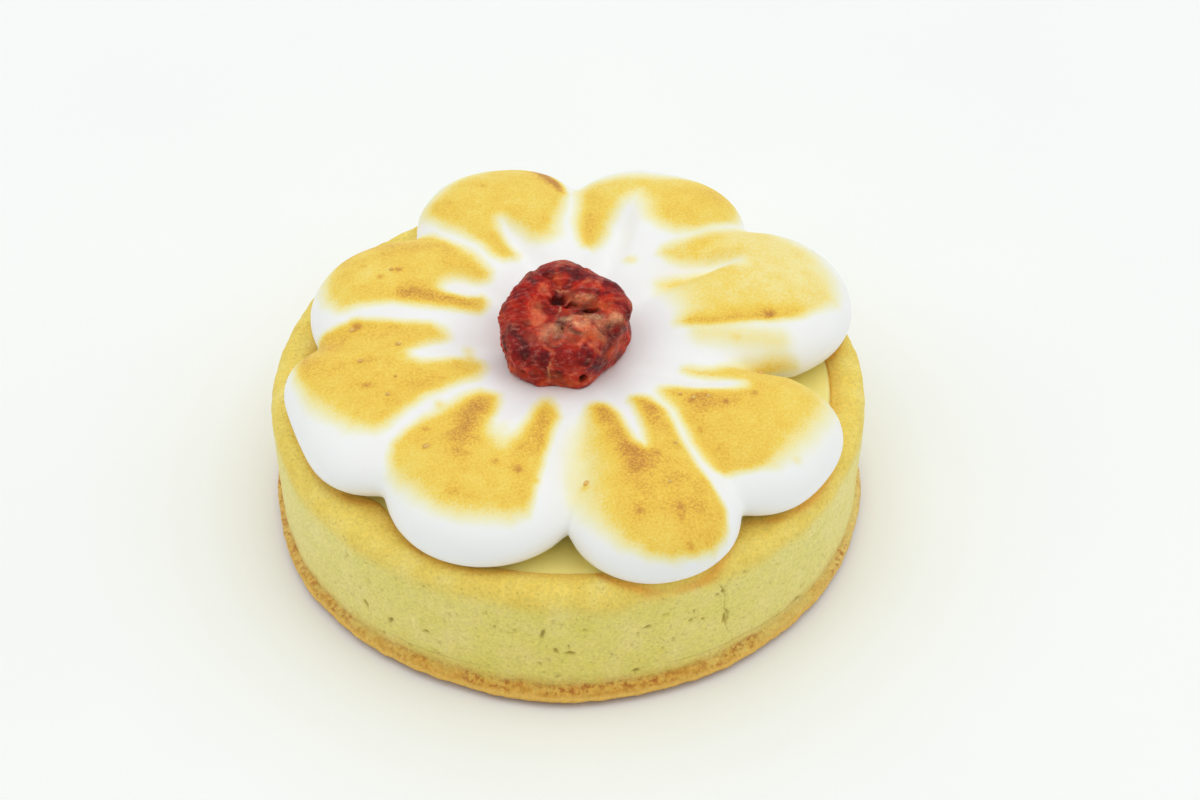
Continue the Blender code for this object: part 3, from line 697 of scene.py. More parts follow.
# One for each petal, in the same order: how far its back is browned, from 0, white, to 1, brown, and the
# corners of the patch. A corner is its radius in mm, its azimuth in degrees and the fade's half width in mm.
TORCHES = (
    Torch(0.38, (
        (16.4, 8.5, 0.5), (21.0, 8.2, 0.4), (29.0, 8.0, 0.4), (32.2, 9.0, 0.5), (35.0, 11.0, 0.6),
        (37.8, 13.5, 0.9), (38.6, 20.0, 2.0), (38.8, 27.5, 2.0), (38.2, 35.0, 1.6), (37.0, 42.5, 1.0),
        (35.0, 46.0, 0.8), (32.6, 47.5, 0.6), (29.0, 50.0, 0.6), (25.8, 52.5, 0.6), (23.0, 54.7, 0.6),
        (21.6, 54.5, 0.6), (21.8, 51.0, 0.7), (23.2, 47.0, 0.7), (25.8, 43.0, 0.7), (27.8, 39.0, 0.8),
        (29.0, 35.0, 1.0), (28.6, 32.0, 1.1), (26.8, 34.5, 0.8), (26.0, 39.0, 0.8), (23.4, 42.0, 0.7),
        (20.6, 44.5, 0.7), (17.8, 46.0, 0.8), (17.0, 40.0, 1.8), (17.2, 30.0, 2.0), (17.0, 20.0, 2.0),
        (15.8, 14.0, 1.4), (15.0, 11.0, 1.0),
    )),
    Torch(0.47, (
        (28.2, 53.0, 0.8), (26.8, 56.0, 1.2), (26.6, 60.0, 1.4), (27.2, 65.0, 1.4), (29.4, 68.0, 1.5),
        (30.8, 71.5, 1.5), (29.4, 75.0, 1.0), (26.6, 76.5, 0.8), (23.4, 77.0, 0.8), (20.6, 78.5, 0.8),
        (19.2, 81.0, 0.8), (19.2, 84.5, 0.8), (20.6, 86.3, 0.8), (25.0, 87.0, 0.9), (33.0, 87.0, 0.9),
        (34.8, 84.0, 1.3), (35.8, 77.5, 1.6), (36.8, 70.0, 1.6), (38.4, 66.5, 1.0), (40.2, 62.5, 0.7),
        (41.0, 57.5, 0.6), (39.8, 52.5, 0.6), (37.0, 49.5, 0.5), (35.4, 48.2, 0.5), (33.0, 49.0, 0.5),
        (30.6, 50.5, 0.6),
    )),
    Torch(0.49, (
        (31.4, 90.3, 0.7), (28.2, 91.5, 0.9), (25.0, 93.5, 1.2), (21.8, 95.5, 1.5), (20.8, 98.0, 1.5),
        (20.8, 101.5, 1.4), (21.8, 105.0, 1.1), (23.8, 107.5, 0.9), (25.8, 110.0, 0.9), (26.0, 112.5, 0.9),
        (24.2, 114.2, 0.8), (21.6, 114.2, 0.8), (19.6, 112.0, 0.8), (18.4, 114.5, 0.8), (18.2, 119.0, 0.8),
        (19.4, 121.5, 0.7), (21.8, 122.2, 0.7), (25.0, 123.5, 0.8), (28.2, 125.0, 0.9), (31.4, 126.5, 0.9),
        (33.8, 126.7, 0.9), (35.8, 125.0, 1.2), (37.2, 120.0, 1.4), (38.6, 113.0, 1.4), (39.6, 105.0, 1.0),
        (39.4, 98.0, 0.8), (37.6, 94.0, 0.6), (34.0, 91.0, 0.5),
    )),
    Torch(0.55, (
        (17.4, 128.8, 1.0), (16.8, 131.5, 1.0), (17.6, 134.5, 1.0), (19.4, 137.5, 1.0), (20.6, 141.0, 1.0),
        (20.8, 146.0, 1.0), (20.4, 150.0, 0.9), (19.2, 151.3, 0.6), (17.4, 150.3, 0.6), (16.0, 148.0, 0.6),
        (15.4, 144.0, 0.6), (15.2, 140.5, 0.7), (14.2, 141.0, 0.7), (13.5, 145.0, 0.7), (13.1, 150.0, 0.7),
        (13.4, 155.0, 0.7), (14.6, 158.0, 0.7), (16.6, 160.0, 0.7), (19.4, 161.5, 0.7), (22.2, 162.5, 0.7),
        (25.0, 163.5, 0.7), (27.4, 165.0, 0.7), (29.8, 167.0, 0.8), (32.2, 168.0, 0.8), (34.4, 165.0, 1.2),
        (36.0, 160.0, 1.4), (37.0, 155.0, 1.2), (37.6, 150.0, 0.9), (37.4, 145.0, 0.7), (35.6, 138.0, 0.6),
        (33.0, 132.0, 0.5), (29.8, 130.0, 0.6), (26.2, 129.0, 0.7), (22.2, 127.8, 0.9), (19.8, 127.7, 1.0),
    )),
    Torch(0.54, (
        (17.2, 173.0, 0.9), (16.6, 176.5, 0.9), (17.0, 178.0, 0.8), (18.4, 180.0, 0.8), (19.8, 182.5, 0.8),
        (21.6, 187.0, 0.8), (21.9, 191.5, 0.8), (20.4, 194.8, 0.8), (17.8, 195.2, 0.8), (15.6, 194.6, 0.8),
        (13.4, 195.0, 0.9), (12.4, 198.5, 0.9), (12.4, 203.0, 0.9), (13.0, 207.0, 0.9), (14.2, 210.0, 0.8),
        (16.2, 210.7, 0.7), (19.0, 210.7, 0.7), (22.2, 211.2, 0.7), (25.8, 212.2, 0.8), (29.0, 214.5, 0.9),
        (30.6, 214.0, 1.1), (33.2, 210.0, 1.3), (34.6, 205.0, 1.3), (35.6, 200.0, 1.3), (36.2, 195.0, 1.1),
        (36.8, 190.0, 0.9), (37.0, 184.0, 0.8), (36.2, 178.0, 0.7), (34.2, 173.8, 0.5), (31.8, 172.5, 0.4),
        (29.8, 170.8, 0.5), (24.0, 170.5, 0.5), (19.0, 170.8, 0.7),
    )),
    Torch(0.53, (
        (15.2, 219.5, 0.8), (14.5, 224.0, 0.8), (14.2, 228.0, 0.8), (14.9, 231.0, 0.8), (16.6, 234.0, 0.7),
        (18.6, 236.5, 0.7), (20.4, 238.5, 0.7), (21.7, 240.8, 0.9), (22.6, 245.0, 1.2), (22.8, 248.3, 1.2),
        (21.4, 250.4, 0.9), (19.0, 251.0, 0.7), (16.2, 251.2, 0.7), (13.4, 251.6, 0.8), (12.0, 254.0, 0.8),
        (11.9, 257.5, 0.8), (12.6, 261.5, 0.7), (14.4, 264.6, 0.5), (17.0, 262.8, 0.5), (20.2, 262.5, 0.5),
        (24.2, 261.7, 0.5), (29.8, 261.2, 0.5), (32.4, 260.3, 0.8), (33.6, 257.0, 1.2), (34.5, 252.0, 1.4),
        (35.2, 246.0, 1.4), (35.2, 241.0, 1.4), (34.8, 236.0, 1.4), (34.0, 230.0, 1.3), (33.0, 225.0, 1.0),
        (31.8, 222.0, 0.6), (30.2, 219.7, 0.5), (27.0, 218.5, 0.5), (24.2, 218.1, 0.6), (21.0, 218.0, 0.7),
        (17.8, 218.2, 0.8),
    )),
    Torch(0.52, (
        (14.4, 279.5, 1.4), (17.0, 277.0, 2.2), (21.0, 275.0, 2.6), (25.0, 274.3, 2.6), (28.0, 274.0, 2.2),
        (31.4, 275.3, 1.8), (34.6, 277.8, 1.4), (37.4, 280.8, 1.0), (39.6, 284.5, 0.7), (40.8, 289.0, 0.4),
        (41.1, 293.5, 0.3), (40.7, 297.0, 0.3), (39.7, 300.0, 0.3), (38.4, 302.0, 0.3), (37.0, 303.2, 0.4),
        (34.6, 304.0, 0.4), (29.8, 304.5, 0.5), (27.4, 305.7, 0.5), (25.0, 307.5, 0.5), (21.0, 311.0, 0.5),
        (19.0, 312.5, 0.5), (17.4, 313.4, 0.5), (15.8, 312.8, 0.5), (14.5, 310.5, 0.5), (13.8, 307.5, 0.5),
        (14.2, 305.4, 0.6), (15.8, 304.8, 0.6), (17.4, 303.3, 0.6), (19.2, 301.0, 0.7), (21.4, 298.5, 0.7),
        (23.4, 296.2, 0.7), (23.7, 294.7, 0.7), (22.2, 293.4, 0.7), (19.8, 293.5, 0.7), (17.6, 294.5, 0.7),
        (15.8, 295.4, 0.7), (14.0, 295.0, 0.7), (12.9, 293.0, 0.7), (12.5, 289.0, 0.7), (12.5, 285.0, 0.7),
        (13.0, 281.5, 0.8),
    )),
    Torch(0.55, (
        (16.2, 319.0, 0.9), (16.0, 322.0, 0.9), (17.0, 325.0, 0.7), (18.6, 327.5, 0.6), (21.0, 330.0, 0.6),
        (23.0, 332.0, 0.6), (24.4, 334.0, 0.8), (25.2, 336.5, 1.0), (24.8, 339.0, 1.0), (23.0, 340.5, 0.8),
        (20.2, 341.0, 0.8), (17.4, 340.7, 0.8), (16.2, 341.5, 0.8), (17.6, 343.6, 0.9), (20.2, 345.5, 1.0),
        (21.4, 349.0, 1.2), (22.8, 353.0, 1.2), (24.2, 355.2, 0.9), (26.2, 357.0, 0.6), (29.0, 358.0, 0.6),
        (31.8, 357.5, 0.9), (33.6, 355.0, 1.3), (35.2, 351.0, 1.7), (36.2, 346.0, 2.0), (36.4, 340.0, 2.0),
        (36.2, 335.0, 2.0), (36.2, 330.0, 2.0), (35.8, 325.0, 1.8), (35.4, 320.0, 1.2), (34.9, 317.0, 0.6),
        (33.8, 314.0, 0.4), (32.0, 310.0, 0.4), (30.9, 308.7, 0.5), (29.0, 308.4, 0.6), (26.2, 309.6, 0.6),
        (23.0, 312.5, 0.6), (20.2, 315.5, 0.7), (17.8, 317.5, 0.8),
    )),
)
# Where the flame stayed longer: radius and azimuth at both ends of a streak, its half width and how much
# darker it is.
HOT_STREAKS = (
    (15.0, 289.0, 26.0, 290.5, 2.0, 0.22), (28.0, 294.0, 35.0, 298.0, 3.6, 0.15),
    (16.0, 309.0, 25.0, 304.5, 1.5, 0.14), (18.0, 227.0, 23.0, 233.0, 2.3, 0.24),
    (26.4, 236.0, 26.4, 239.5, 0.9, 0.12), (15.0, 256.5, 21.5, 257.0, 1.7, 0.13),
    (33.0, 242.5, 33.0, 242.5, 1.0, 0.14), (31.0, 235.0, 31.0, 235.0, 0.9, 0.1),
    (34.8, 240.5, 34.8, 240.5, 0.7, 0.14), (32.6, 254.5, 32.6, 254.5, 0.8, 0.1),
    (24.0, 190.0, 36.0, 190.0, 0.5, 0.07), (26.0, 176.0, 34.5, 177.0, 2.4, 0.1),
    (24.6, 192.5, 24.6, 193.0, 0.8, 0.08), (16.0, 202.0, 24.0, 204.0, 1.3, 0.07),
    (16.4, 153.0, 24.4, 158.8, 1.1, 0.2), (29.0, 140.0, 29.0, 140.0, 3.0, 0.08),
    (31.4, 145.0, 34.0, 150.0, 3.0, 0.08), (32.0, 91.3, 37.6, 96.5, 1.3, 0.5),
    (20.0, 116.0, 23.0, 119.0, 1.6, 0.08), (33.0, 97.0, 36.0, 104.0, 3.0, 0.1),
    (20.0, 83.0, 30.0, 83.0, 1.6, 0.14), (30.0, 57.0, 38.0, 56.0, 3.2, 0.12),
    (16.5, 10.0, 31.5, 10.5, 1.5, 0.22), (20.0, 9.6, 30.0, 9.6, 0.6, 0.06),
    (22.0, 14.0, 26.0, 13.0, 2.0, 0.08), (27.0, 49.0, 30.0, 47.5, 1.5, 0.14),
    (20.5, 321.0, 21.4, 326.5, 0.6, 0.14), (22.0, 326.0, 27.0, 334.0, 2.0, 0.13),
    (36.6, 151.0, 36.0, 142.0, 1.0, 0.2), (34.6, 137.0, 31.6, 131.5, 0.9, 0.16),
    (35.6, 175.0, 36.6, 188.0, 0.9, 0.18),
)
# Places that were only just caught, given in the same way.
FAINT_STREAKS = (
    (18.0, 4.4, 28.5, 2.4, 1.7, 0.24), (18.3, 61.5, 18.3, 63.0, 0.8, 0.22),
    (26.9, 274.5, 26.9, 274.5, 0.7, 0.14), (21.2, 215.9, 21.2, 215.9, 0.7, 0.26),
    (13.6, 184.5, 13.6, 192.0, 0.9, 0.22), (11.2, 256.0, 11.2, 256.0, 1.2, 0.12),
    (20.0, 243.5, 21.5, 246.5, 1.6, 0.12), (27.4, 261.4, 27.4, 261.4, 0.5, 0.2),
)
# Dark specks of caught sugar: radius, azimuth, size and strength.
SPECKS = (
    (27.8, 10.0, 0.5, 0.6), (22.8, 2.5, 0.5, 0.2), (26.9, 150.5, 0.55, 0.62), (28.5, 155.2, 0.5, 0.55),
    (32.2, 152.2, 0.45, 0.35), (29.0, 173.3, 0.6, 0.6), (28.5, 199.7, 0.5, 0.4), (26.5, 205.2, 0.35, 0.3),
    (26.2, 248.7, 0.5, 0.45), (26.2, 255.5, 0.6, 0.5), (25.2, 221.5, 0.4, 0.35), (27.6, 227.5, 0.6, 0.3),
    (24.6, 327.5, 0.45, 0.45), (27.2, 335.2, 0.45, 0.4), (24.8, 314.2, 0.4, 0.25),
    (28.8, 313.7, 0.45, 0.22), (37.2, 323.5, 0.5, 0.25), (34.0, 285.5, 0.45, 0.35),
    (26.9, 274.5, 0.5, 0.15), (40.1, 293.0, 0.35, 0.4), (35.2, 294.2, 0.4, 0.35), (36.6, 293.2, 0.35, 0.3),
    (25.7, 297.0, 0.45, 0.3), (33.8, 111.0, 0.45, 0.3), (33.0, 120.5, 0.5, 0.25), (31.5, 57.5, 0.6, 0.15),
)
FADE_STRETCH = 1.6  # every fade's half width times this
FADE_LEAST = 0.15  # and this added, in mm
SPECK_SPREAD = 1.15  # half width of a speck's bell, in its size


def flat_place(radius, degrees):
    """x and y of a place that is given by its radius and azimuth."""
    return radius * np.cos(np.radians(degrees)), radius * np.sin(np.radians(degrees))


def from_line(x, y, first, last):
    """The distance of each point from the straight line between two places, and how far along the line its
    nearest point is, from 0 to 1."""
    step = (last[0] - first[0], last[1] - first[1])
    length = max(math.hypot(*step), 1e-6)
    share = np.clip(((x - first[0]) * step[0] + (y - first[1]) * step[1]) / length**2, 0.0, 1.0)
    return np.hypot(x - first[0] - share * step[0], y - first[1] - share * step[1]), share


def browned_patch(x, y, outline):
    """The browning of one petal from 0 to 1: the fade of the distance from its outline. A point is inside
    where a line from it to the right crosses the outline an odd number of times."""
    nearest = np.full_like(x, LONGEST_REACH)
    width = np.ones_like(x)
    inside = np.zeros(x.shape, dtype=bool)
    for corner, following in zip(outline, outline[1:] + outline[:1]):
        first = flat_place(*corner[:2])
        last = flat_place(*following[:2])
        distance, share = from_line(x, y, first, last)
        width = np.where(distance < nearest, corner[2] + (following[2] - corner[2]) * share, width)
        nearest = np.minimum(nearest, distance)
        crossing = first[0] + (y - first[1]) * (last[0] - first[0]) / (last[1] - first[1] + 1e-9)
        inside ^= ((first[1] > y) != (last[1] > y)) & (x < crossing)
    fade = FADE_STRETCH * width + FADE_LEAST
    return smooth_step(np.where(inside, nearest, -nearest), -fade, fade)


def streaks(x, y, rows):
    """The sum of bells of the distance from each row's straight line between its two ends. A streak whose
    ends are the same is a round spot."""
    total = np.zeros_like(x)
    for first_radius, first_degrees, last_radius, last_degrees, half_width, strength in rows:
        first = flat_place(first_radius, first_degrees)
        last = flat_place(last_radius, last_degrees)
        total += strength * bell(from_line(x, y, first, last)[0], half_width)
    return total


# %% Amount of browning at each point
FLAME_RANGE = (22.0, 24.0)  # what lies lower faces away from the flame
INNER_HEAT = 0.03  # the flame was held nearer to the middle
INNER_RANGE = (15.0, 36.0)  # the radii over which that heat falls off
HOT_SHARE = 0.8
# Layers of noise that move the patches' edges along x and y, and that make the browning uneven.
EDGE_WARPS = (((0.16, 1.6, 31), (0.34, 5.0, 32)), ((0.16, 1.6, 33), (0.34, 5.0, 34)))
UNEVEN_BROWNING = ((0.10, 8.0, 37), (0.12, 4.5, 35), (0.06, 1.7, 36))


def browning(points):
    """How far the skin is browned: the patches, warped a little so that no edge is ruled, times a level that
    rises towards the middle and at the hot spots and varies softly, plus the faint spots."""
    x, y, z = points
    warped = [place + layered_noise(points, layers) for place, layers in zip((x, y), EDGE_WARPS)]
    uneven = 1.0 + layered_noise(points, UNEVEN_BROWNING)
    hotter = INNER_HEAT * (1.0 - 2.0 * smooth_step(np.hypot(x, y), *INNER_RANGE))
    hotter += HOT_SHARE * streaks(x, y, HOT_STREAKS)
    patches = [browned_patch(*warped, torch.outline) * (torch.level * uneven + hotter) for torch in TORCHES]
    browned = np.max(patches, axis=0) + streaks(x, y, FAINT_STREAKS)
    return np.clip(browned, 0.0, 1.0) * smooth_step(z, *FLAME_RANGE)


torched = browning(meringue_points)
speck_rows = [(*place, *place, SPECK_SPREAD * size, strength) for *place, size, strength in SPECKS]
specks = np.clip(streaks(*meringue_points[:2], speck_rows), 0.0, 1.0)
meringue = closed_surface("meringue_skin", meringue_points, torched=torched, specks=specks)
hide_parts("meringue")
print("Browned share of the skin:", round(float((torched > 0.3).mean()), 2))

# %% [markdown]
# ## Crust and curd as meshes
# The crust comes after the meringue, because the sugar that ran out under the petals stained the rim there,
# and the petals' edge shades the rim, which is painted in with the stain. Both follow the petals' edge: they
# are strongest where the meringue's field is near zero just above the rim. The amounts of golden and brown
# baking are kept on the mesh as well.

# %% Relief of the crust
# Layers of noise: the height and the wavelength in mm, and the seed.
CRUMB_RELIEF = ((0.13, 8.0, 41), (0.07, 3.6, 42), (0.045, 1.5, 43), (0.03, 0.7, 44))
FOOT_RELIEF = ((0.08, 1.3, 45), (0.07, 0.7, 46))
RIM_RELIEF = ((0.16, 2.6, 55), (0.08, 1.1, 56))
# The range of radii for the first, and of heights for the others, over which a kind of relief comes in. That
# of the foot fades out upwards.
WALL_RANGE = (INNER_RADIUS - 0.5, INNER_RADIUS + 0.6)
TABLE_RANGE = (0.0, 0.7)
FOOT_RANGE = (FOOT_HEIGHT - 0.2, FOOT_HEIGHT + 0.6)
RIM_RANGE = (17.5, 19.0)
FINE_PIT_SHARE = 0.8
SEAM_DEPTH = 0.20
CREASE_DEPTH = 0.18

azimuth, section_radius, section_height = round_grid(CRUST_COLUMNS, *section.T)
crust_points = crust_form(azimuth, section_radius, section_height)
on_wall = smooth_step(section_radius, *WALL_RANGE)
only_wall = on_wall * smooth_step(section_radius, CREST_RADIUS, WALL_RADIUS_LOW - 0.2)
ragged_azimuth = azimuth + layered_noise(crust_points, PIT_EDGES[0]) / WALL_RADIUS_HIGH
ragged_level = section_height + layered_noise(crust_points, PIT_EDGES[1])
pits = pit_depths(ragged_azimuth, ragged_level, NAMED_PITS)
fine_pits = pit_depths(ragged_azimuth, ragged_level, scattered_pits())
hollow = only_wall * np.maximum(pits, FINE_PIT_SHARE * fine_pits)
seam = only_wall * seam_depth(azimuth, section_height)
crease = only_wall * crease_depth(azimuth, section_height)
relief = layered_noise(crust_points, CRUMB_RELIEF)
relief += layered_noise(crust_points, FOOT_RELIEF) * (1.0 - smooth_step(section_height, *FOOT_RANGE))
relief += layered_noise(crust_points, RIM_RELIEF) * smooth_step(section_height, *RIM_RANGE)
relief -= PIT_DEPTH * hollow + SEAM_DEPTH * seam + CREASE_DEPTH * crease
relief *= on_wall * smooth_step(section_height, *TABLE_RANGE)
crust_points = crust_points + outward(crust_points) * relief
print("Pits on the crust:", len(NAMED_PITS) + PIT_COUNT)

# %% Baking of the crust, with painted highlight and shade
# Along the petals' edge the stain is partly painted warm shade, where the petals meet the rim.
STAIN_EDGE = (-0.02, 0.30)  # the stain's middle and half width, in the depth of the meringue's field
STAIN_RANGE = (17.6, 18.8)
STAIN_CLOUDS = ((0.9, 4.5, 47), (0.3, 1.4, 48))
SCORCH_CLOUDS = ((1.3, 5.5, 57),)
CURD_LINE = (19.2, 0.22)  # height and half width of the line that the curd left on the rim
CURD_LINE_RANGE = (0.8, 1.3)  # how far past the inner edge that line fades out
INNER_SLOPE_STAIN = 0.30
INNER_SLOPE_RANGE = (0.9, 2.3)
GOLDEN_RANGE = (16.2, 19.2)
GOLDEN_EDGE = ((0.9, 5.0, 49),)  # noise that makes the edge of the golden rim ragged
BROWN_EDGE = ((0.45, 2.2, 50), (0.25, 0.9, 53))
LIP_EDGE = ((0.15, 1.0, 54),)
FOOT_BROWN = ((0.45, 2.7, 5.0), (0.55, 2.0, 3.3))  # strength, and the heights over which it fades
SIDES_PALER = 0.45  # how much less brown the foot is at both sides
LIP_BAND = (1.2, 1.5, 1.8, 2.2)  # a pale band painted along the disc's widest bulge as a highlight
SCORCH_BAND = (1.8, 2.2, 2.4, 3.4)  # dark flecks over the disc's edge
# the heights over which painted shade on the foot's underside, below its bulge, fades out
CHARRED_RANGE = (0.7, 1.4)

to_petal = meringue_field(crust_points[0], crust_points[1], np.full_like(azimuth, RIM_HEIGHT + 0.8))
under_petal = bell(to_petal - STAIN_EDGE[0], STAIN_EDGE[1]) * smooth_step(section_height, *STAIN_RANGE)
past_edge = section_radius - INNER_RADIUS
curd_line = bell(section_height - CURD_LINE[0], CURD_LINE[1])
curd_line *= 1.0 - smooth_step(past_edge, *CURD_LINE_RANGE)
inner_slope = (1.0 - smooth_step(past_edge, *INNER_SLOPE_RANGE)) * on_wall
clouds = np.clip(0.65 + layered_noise(crust_points, STAIN_CLOUDS), 0.0, 1.0)
stain = np.maximum(0.70 * clouds * under_petal, (0.55 + 0.35 * clouds) * curd_line)
stain = np.maximum(stain, INNER_SLOPE_STAIN * inner_slope)
golden = smooth_step(section_height + layered_noise(crust_points, GOLDEN_EDGE), *GOLDEN_RANGE)
ragged_height = section_height + layered_noise(crust_points, BROWN_EDGE)
side = np.cos(azimuth) ** 2
brown = sum(strength * (1.0 - smooth_step(ragged_height, *fading)) for strength, *fading in FOOT_BROWN)
brown *= 1.0 - SIDES_PALER * side * (0.7 + 0.3 * np.cos(azimuth))
edge_height = section_height + layered_noise(crust_points, LIP_EDGE)
scorch = np.clip(0.35 + layered_noise(crust_points, SCORCH_CLOUDS), 0.0, 0.8)
scorch *= band(ragged_height, *SCORCH_BAND)
charred = 1.0 - smooth_step(edge_height, *CHARRED_RANGE)
# The hollows darken in the finish: the pits' own olive tint, and painted shade in the pits, seam and crease.
crust = closed_surface(
    "crust_baked", crust_points, hollow=np.clip(hollow + 0.6 * seam + 0.5 * crease, 0.0, 1.0),
    golden=golden, brown=brown * on_wall, stain=stain * on_wall, side=side, scorch=scorch * on_wall,
    lip=band(edge_height, *LIP_BAND) * on_wall, charred=charred * on_wall,
)
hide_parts("crust")

# %% Curd
CURD_SKIN = ((0.10, 7.0, 51), (0.04, 2.2, 52))
curd_bottom = FLOOR_THICKNESS + TOUCH_GAP
curd_top = [(r, float(curd_height(r))) for r in np.linspace(0.0, CURD_BRIM, 64)]
curd_top += [(CURD_REACH, CURD_LEVEL - 0.6)]
curd_side = arc((CURD_REACH - FLOOR_FILLET, curd_bottom + FLOOR_FILLET), FLOOR_FILLET, 0.0, -90.0, 4)
curd_section = np.array(curd_top + curd_side + [(0.0, curd_bottom)])
azimuth, radius, height = round_grid(CURD_COLUMNS, *curd_section.T)
curd_points = np.stack([radius * np.cos(azimuth), radius * np.sin(azimuth), height])
on_top = smooth_step(height, CURD_LEVEL - 0.4, CURD_LEVEL - 0.1)
curd_points[2] += on_top * layered_noise(curd_points, CURD_SKIN)
curd = closed_surface("lemon_curd_set", curd_points)
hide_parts("lemon_curd")

# %% [markdown]
# ## The red fruit
# The fruit is a thick slice that was candied and half dried. Its form is a flattened superellipsoid with an
# uneven outline and folded lumps, as in the solid. Drying pulled the flesh between its firm parts into
# wrinkles, and the middle has sunken holes. Wrinkles are ridged noise, a half minus its absolute value, which
# has sharp crests and round valleys, at three sizes.

# %% Form of the fruit
FRUIT_WIDTH = 17.6
FRUIT_DEPTH = 18.0
FRUIT_THICKNESS = 8.4
FRUIT_SQUARENESS = 4.0
FRUIT_TILT = math.radians(8.0)
FRUIT_LUMPS = 0.70
FRUIT_LUMP_WAVES = ((2.2, 0.5), (3.4, 0.45), (5.5, 0.35), (8.0, 0.25))  # waves per half width, and weight
# Waves round the fruit: how many there are, their share of the radius and where they peak, in degrees.
FRUIT_OUTLINE = (
    (1, 0.025, -125.0), (2, 0.022, 76.0), (3, 0.030, -12.0), (4, 0.030, 16.0), (5, 0.030, -138.0),
    (6, 0.018, -10.0), (8, 0.016, 2.0),
)
FRUIT_SEED = 7
FRUIT_COLUMNS = 420
FRUIT_ROWS = 220


def fruit_lumps(point):
    """Lumps over the fruit, about from -1 to 1: folded waves in several directions, drawn with a seed, at a
    point (3, ...) given in half widths of the fruit."""
    draw = np.random.default_rng(FRUIT_SEED)
    total = np.zeros(point.shape[1:])
    for frequency, weight in FRUIT_LUMP_WAVES:
        axes = draw.normal(size=(3, 3))
        axes *= frequency / np.linalg.norm(axes, axis=1, keepdims=True)
        phases = draw.uniform(0.0, 2.0 * np.pi, size=(3, 1, 1))
        folded = np.abs(np.sin(np.einsum("ij,jkl->ikl", axes, point) + phases))
        total += weight * (1.0 - 2.0 * folded.mean(axis=0))
    return total


def fruit_form(azimuth, tilt):
    """The fruit's surface about its own middle for an azimuth and a tilt from pi/2 on top to -pi/2 below:
    the radius at which the superellipse is 1, and lumps over it."""
    heading = np.stack([
        np.cos(tilt) * np.cos(azimuth) * FRUIT_WIDTH,
        np.cos(tilt) * np.sin(azimuth) * FRUIT_DEPTH,
        np.sin(tilt) * FRUIT_THICKNESS,
    ])
    heading /= np.linalg.norm(heading, axis=0)
    level_share = 2.0 * np.hypot(heading[0] / FRUIT_WIDTH, heading[1] / FRUIT_DEPTH)
    upright_share = np.abs(heading[2]) / (FRUIT_THICKNESS / 2.0)
    true_azimuth = np.arctan2(heading[1], heading[0])
    outline = 1.0
    for count, share, peak in FRUIT_OUTLINE:
        outline = outline + share * np.cos(count * (true_azimuth - math.radians(peak)))
    radius = 1.0 / superellipse(level_share / outline, upright_share, FRUIT_SQUARENESS)
    lumps = fruit_lumps(heading * radius / (FRUIT_WIDTH / 2.0))
    return heading * (radius + FRUIT_LUMPS * lumps)


def on_seat(point):
    """The fruit leaned to the front, moved to its place and flattened where it rests."""
    x, y, z = point
    placed = np.stack([
        x + FRUIT_MIDDLE[0],
        y * math.cos(FRUIT_TILT) - z * math.sin(FRUIT_TILT) + FRUIT_MIDDLE[1],
        y * math.sin(FRUIT_TILT) + z * math.cos(FRUIT_TILT) + SEAT_LEVEL + FRUIT_THICKNESS / 2.0,
    ])
    placed[2] = np.maximum(placed[2], SEAT_LEVEL + TOUCH_GAP)
    return placed


# %% Wrinkles, holes and patches of the fruit
# Ovals on the fruit: middle x, y, z about the fruit's middle, half lengths along x, y, z, and strength.
HOLES = (
    (-0.9, 1.1, 4.2, 1.15, 0.85, 2.0, 1.0), (0.9, 0.2, 4.2, 0.9, 0.35, 2.0, 0.6),
    (3.6, -0.8, 4.2, 1.1, 0.42, 2.0, 0.7), (-0.2, -4.0, 4.1, 0.35, 0.3, 2.0, 0.3),
    (2.4, -8.9, -0.8, 0.5, 1.2, 0.7, 1.0), (-2.2, 5.2, 4.0, 0.7, 0.5, 2.0, 0.4),
    (2.7, 8.4, 3.2, 0.5, 0.9, 1.6, 0.4), (8.8, -0.6, 2.0, 0.9, 0.5, 1.6, 0.4),
    (-8.7, 0.6, 2.0, 0.9, 0.5, 1.6, 0.35), (-7.0, -5.6, 0.5, 0.9, 0.5, 1.8, 0.35),
)
PALE_PATCHES = (
    (1.3, -2.5, 4.1, 1.7, 0.55, 2.0, 1.0), (5.0, -2.2, 4.0, 2.3, 0.9, 2.0, 0.9),
    (3.0, -2.9, 4.1, 2.2, 0.7, 2.0, 0.75), (-1.9, -4.6, 4.1, 2.5, 1.1, 2.0, 0.6),
    (2.6, -4.4, 4.0, 2.4, 0.6, 2.0, 0.35), (-0.6, 2.3, 4.2, 1.3, 0.35, 2.0, 0.7),
    (-0.2, -0.6, 4.2, 0.3, 0.8, 2.0, 0.7), (2.4, 1.9, 4.2, 0.9, 0.5, 2.0, 0.5),
    (-1.9, -8.7, 0.8, 0.28, 0.9, 1.9, 0.9),
)
# Painted glow: ovals where light shines through the thin flesh.
ORANGE_PATCHES = (
    (2.0, -1.5, 4.2, 1.0, 0.9, 2.0, 1.0), (2.4, 1.2, 4.2, 1.8, 1.1, 2.0, 0.7),
    (4.6, 0.6, 4.1, 1.9, 1.1, 2.0, 0.8), (-1.2, 4.8, 4.1, 1.3, 1.1, 2.0, 0.7),
    (3.6, -5.2, 3.9, 2.2, 1.1, 2.0, 0.9), (0.4, -9.0, -1.6, 3.0, 1.6, 1.2, 0.8),
    (-6.6, -6.0, -1.2, 2.4, 2.4, 1.6, 0.7), (6.6, -6.0, 0.4, 1.2, 1.6, 2.2, 0.9),
    (8.0, -2.6, 0.0, 1.0, 1.4, 2.0, 0.6), (-7.2, -2.8, 2.8, 1.4, 1.2, 1.5, 0.5),
)
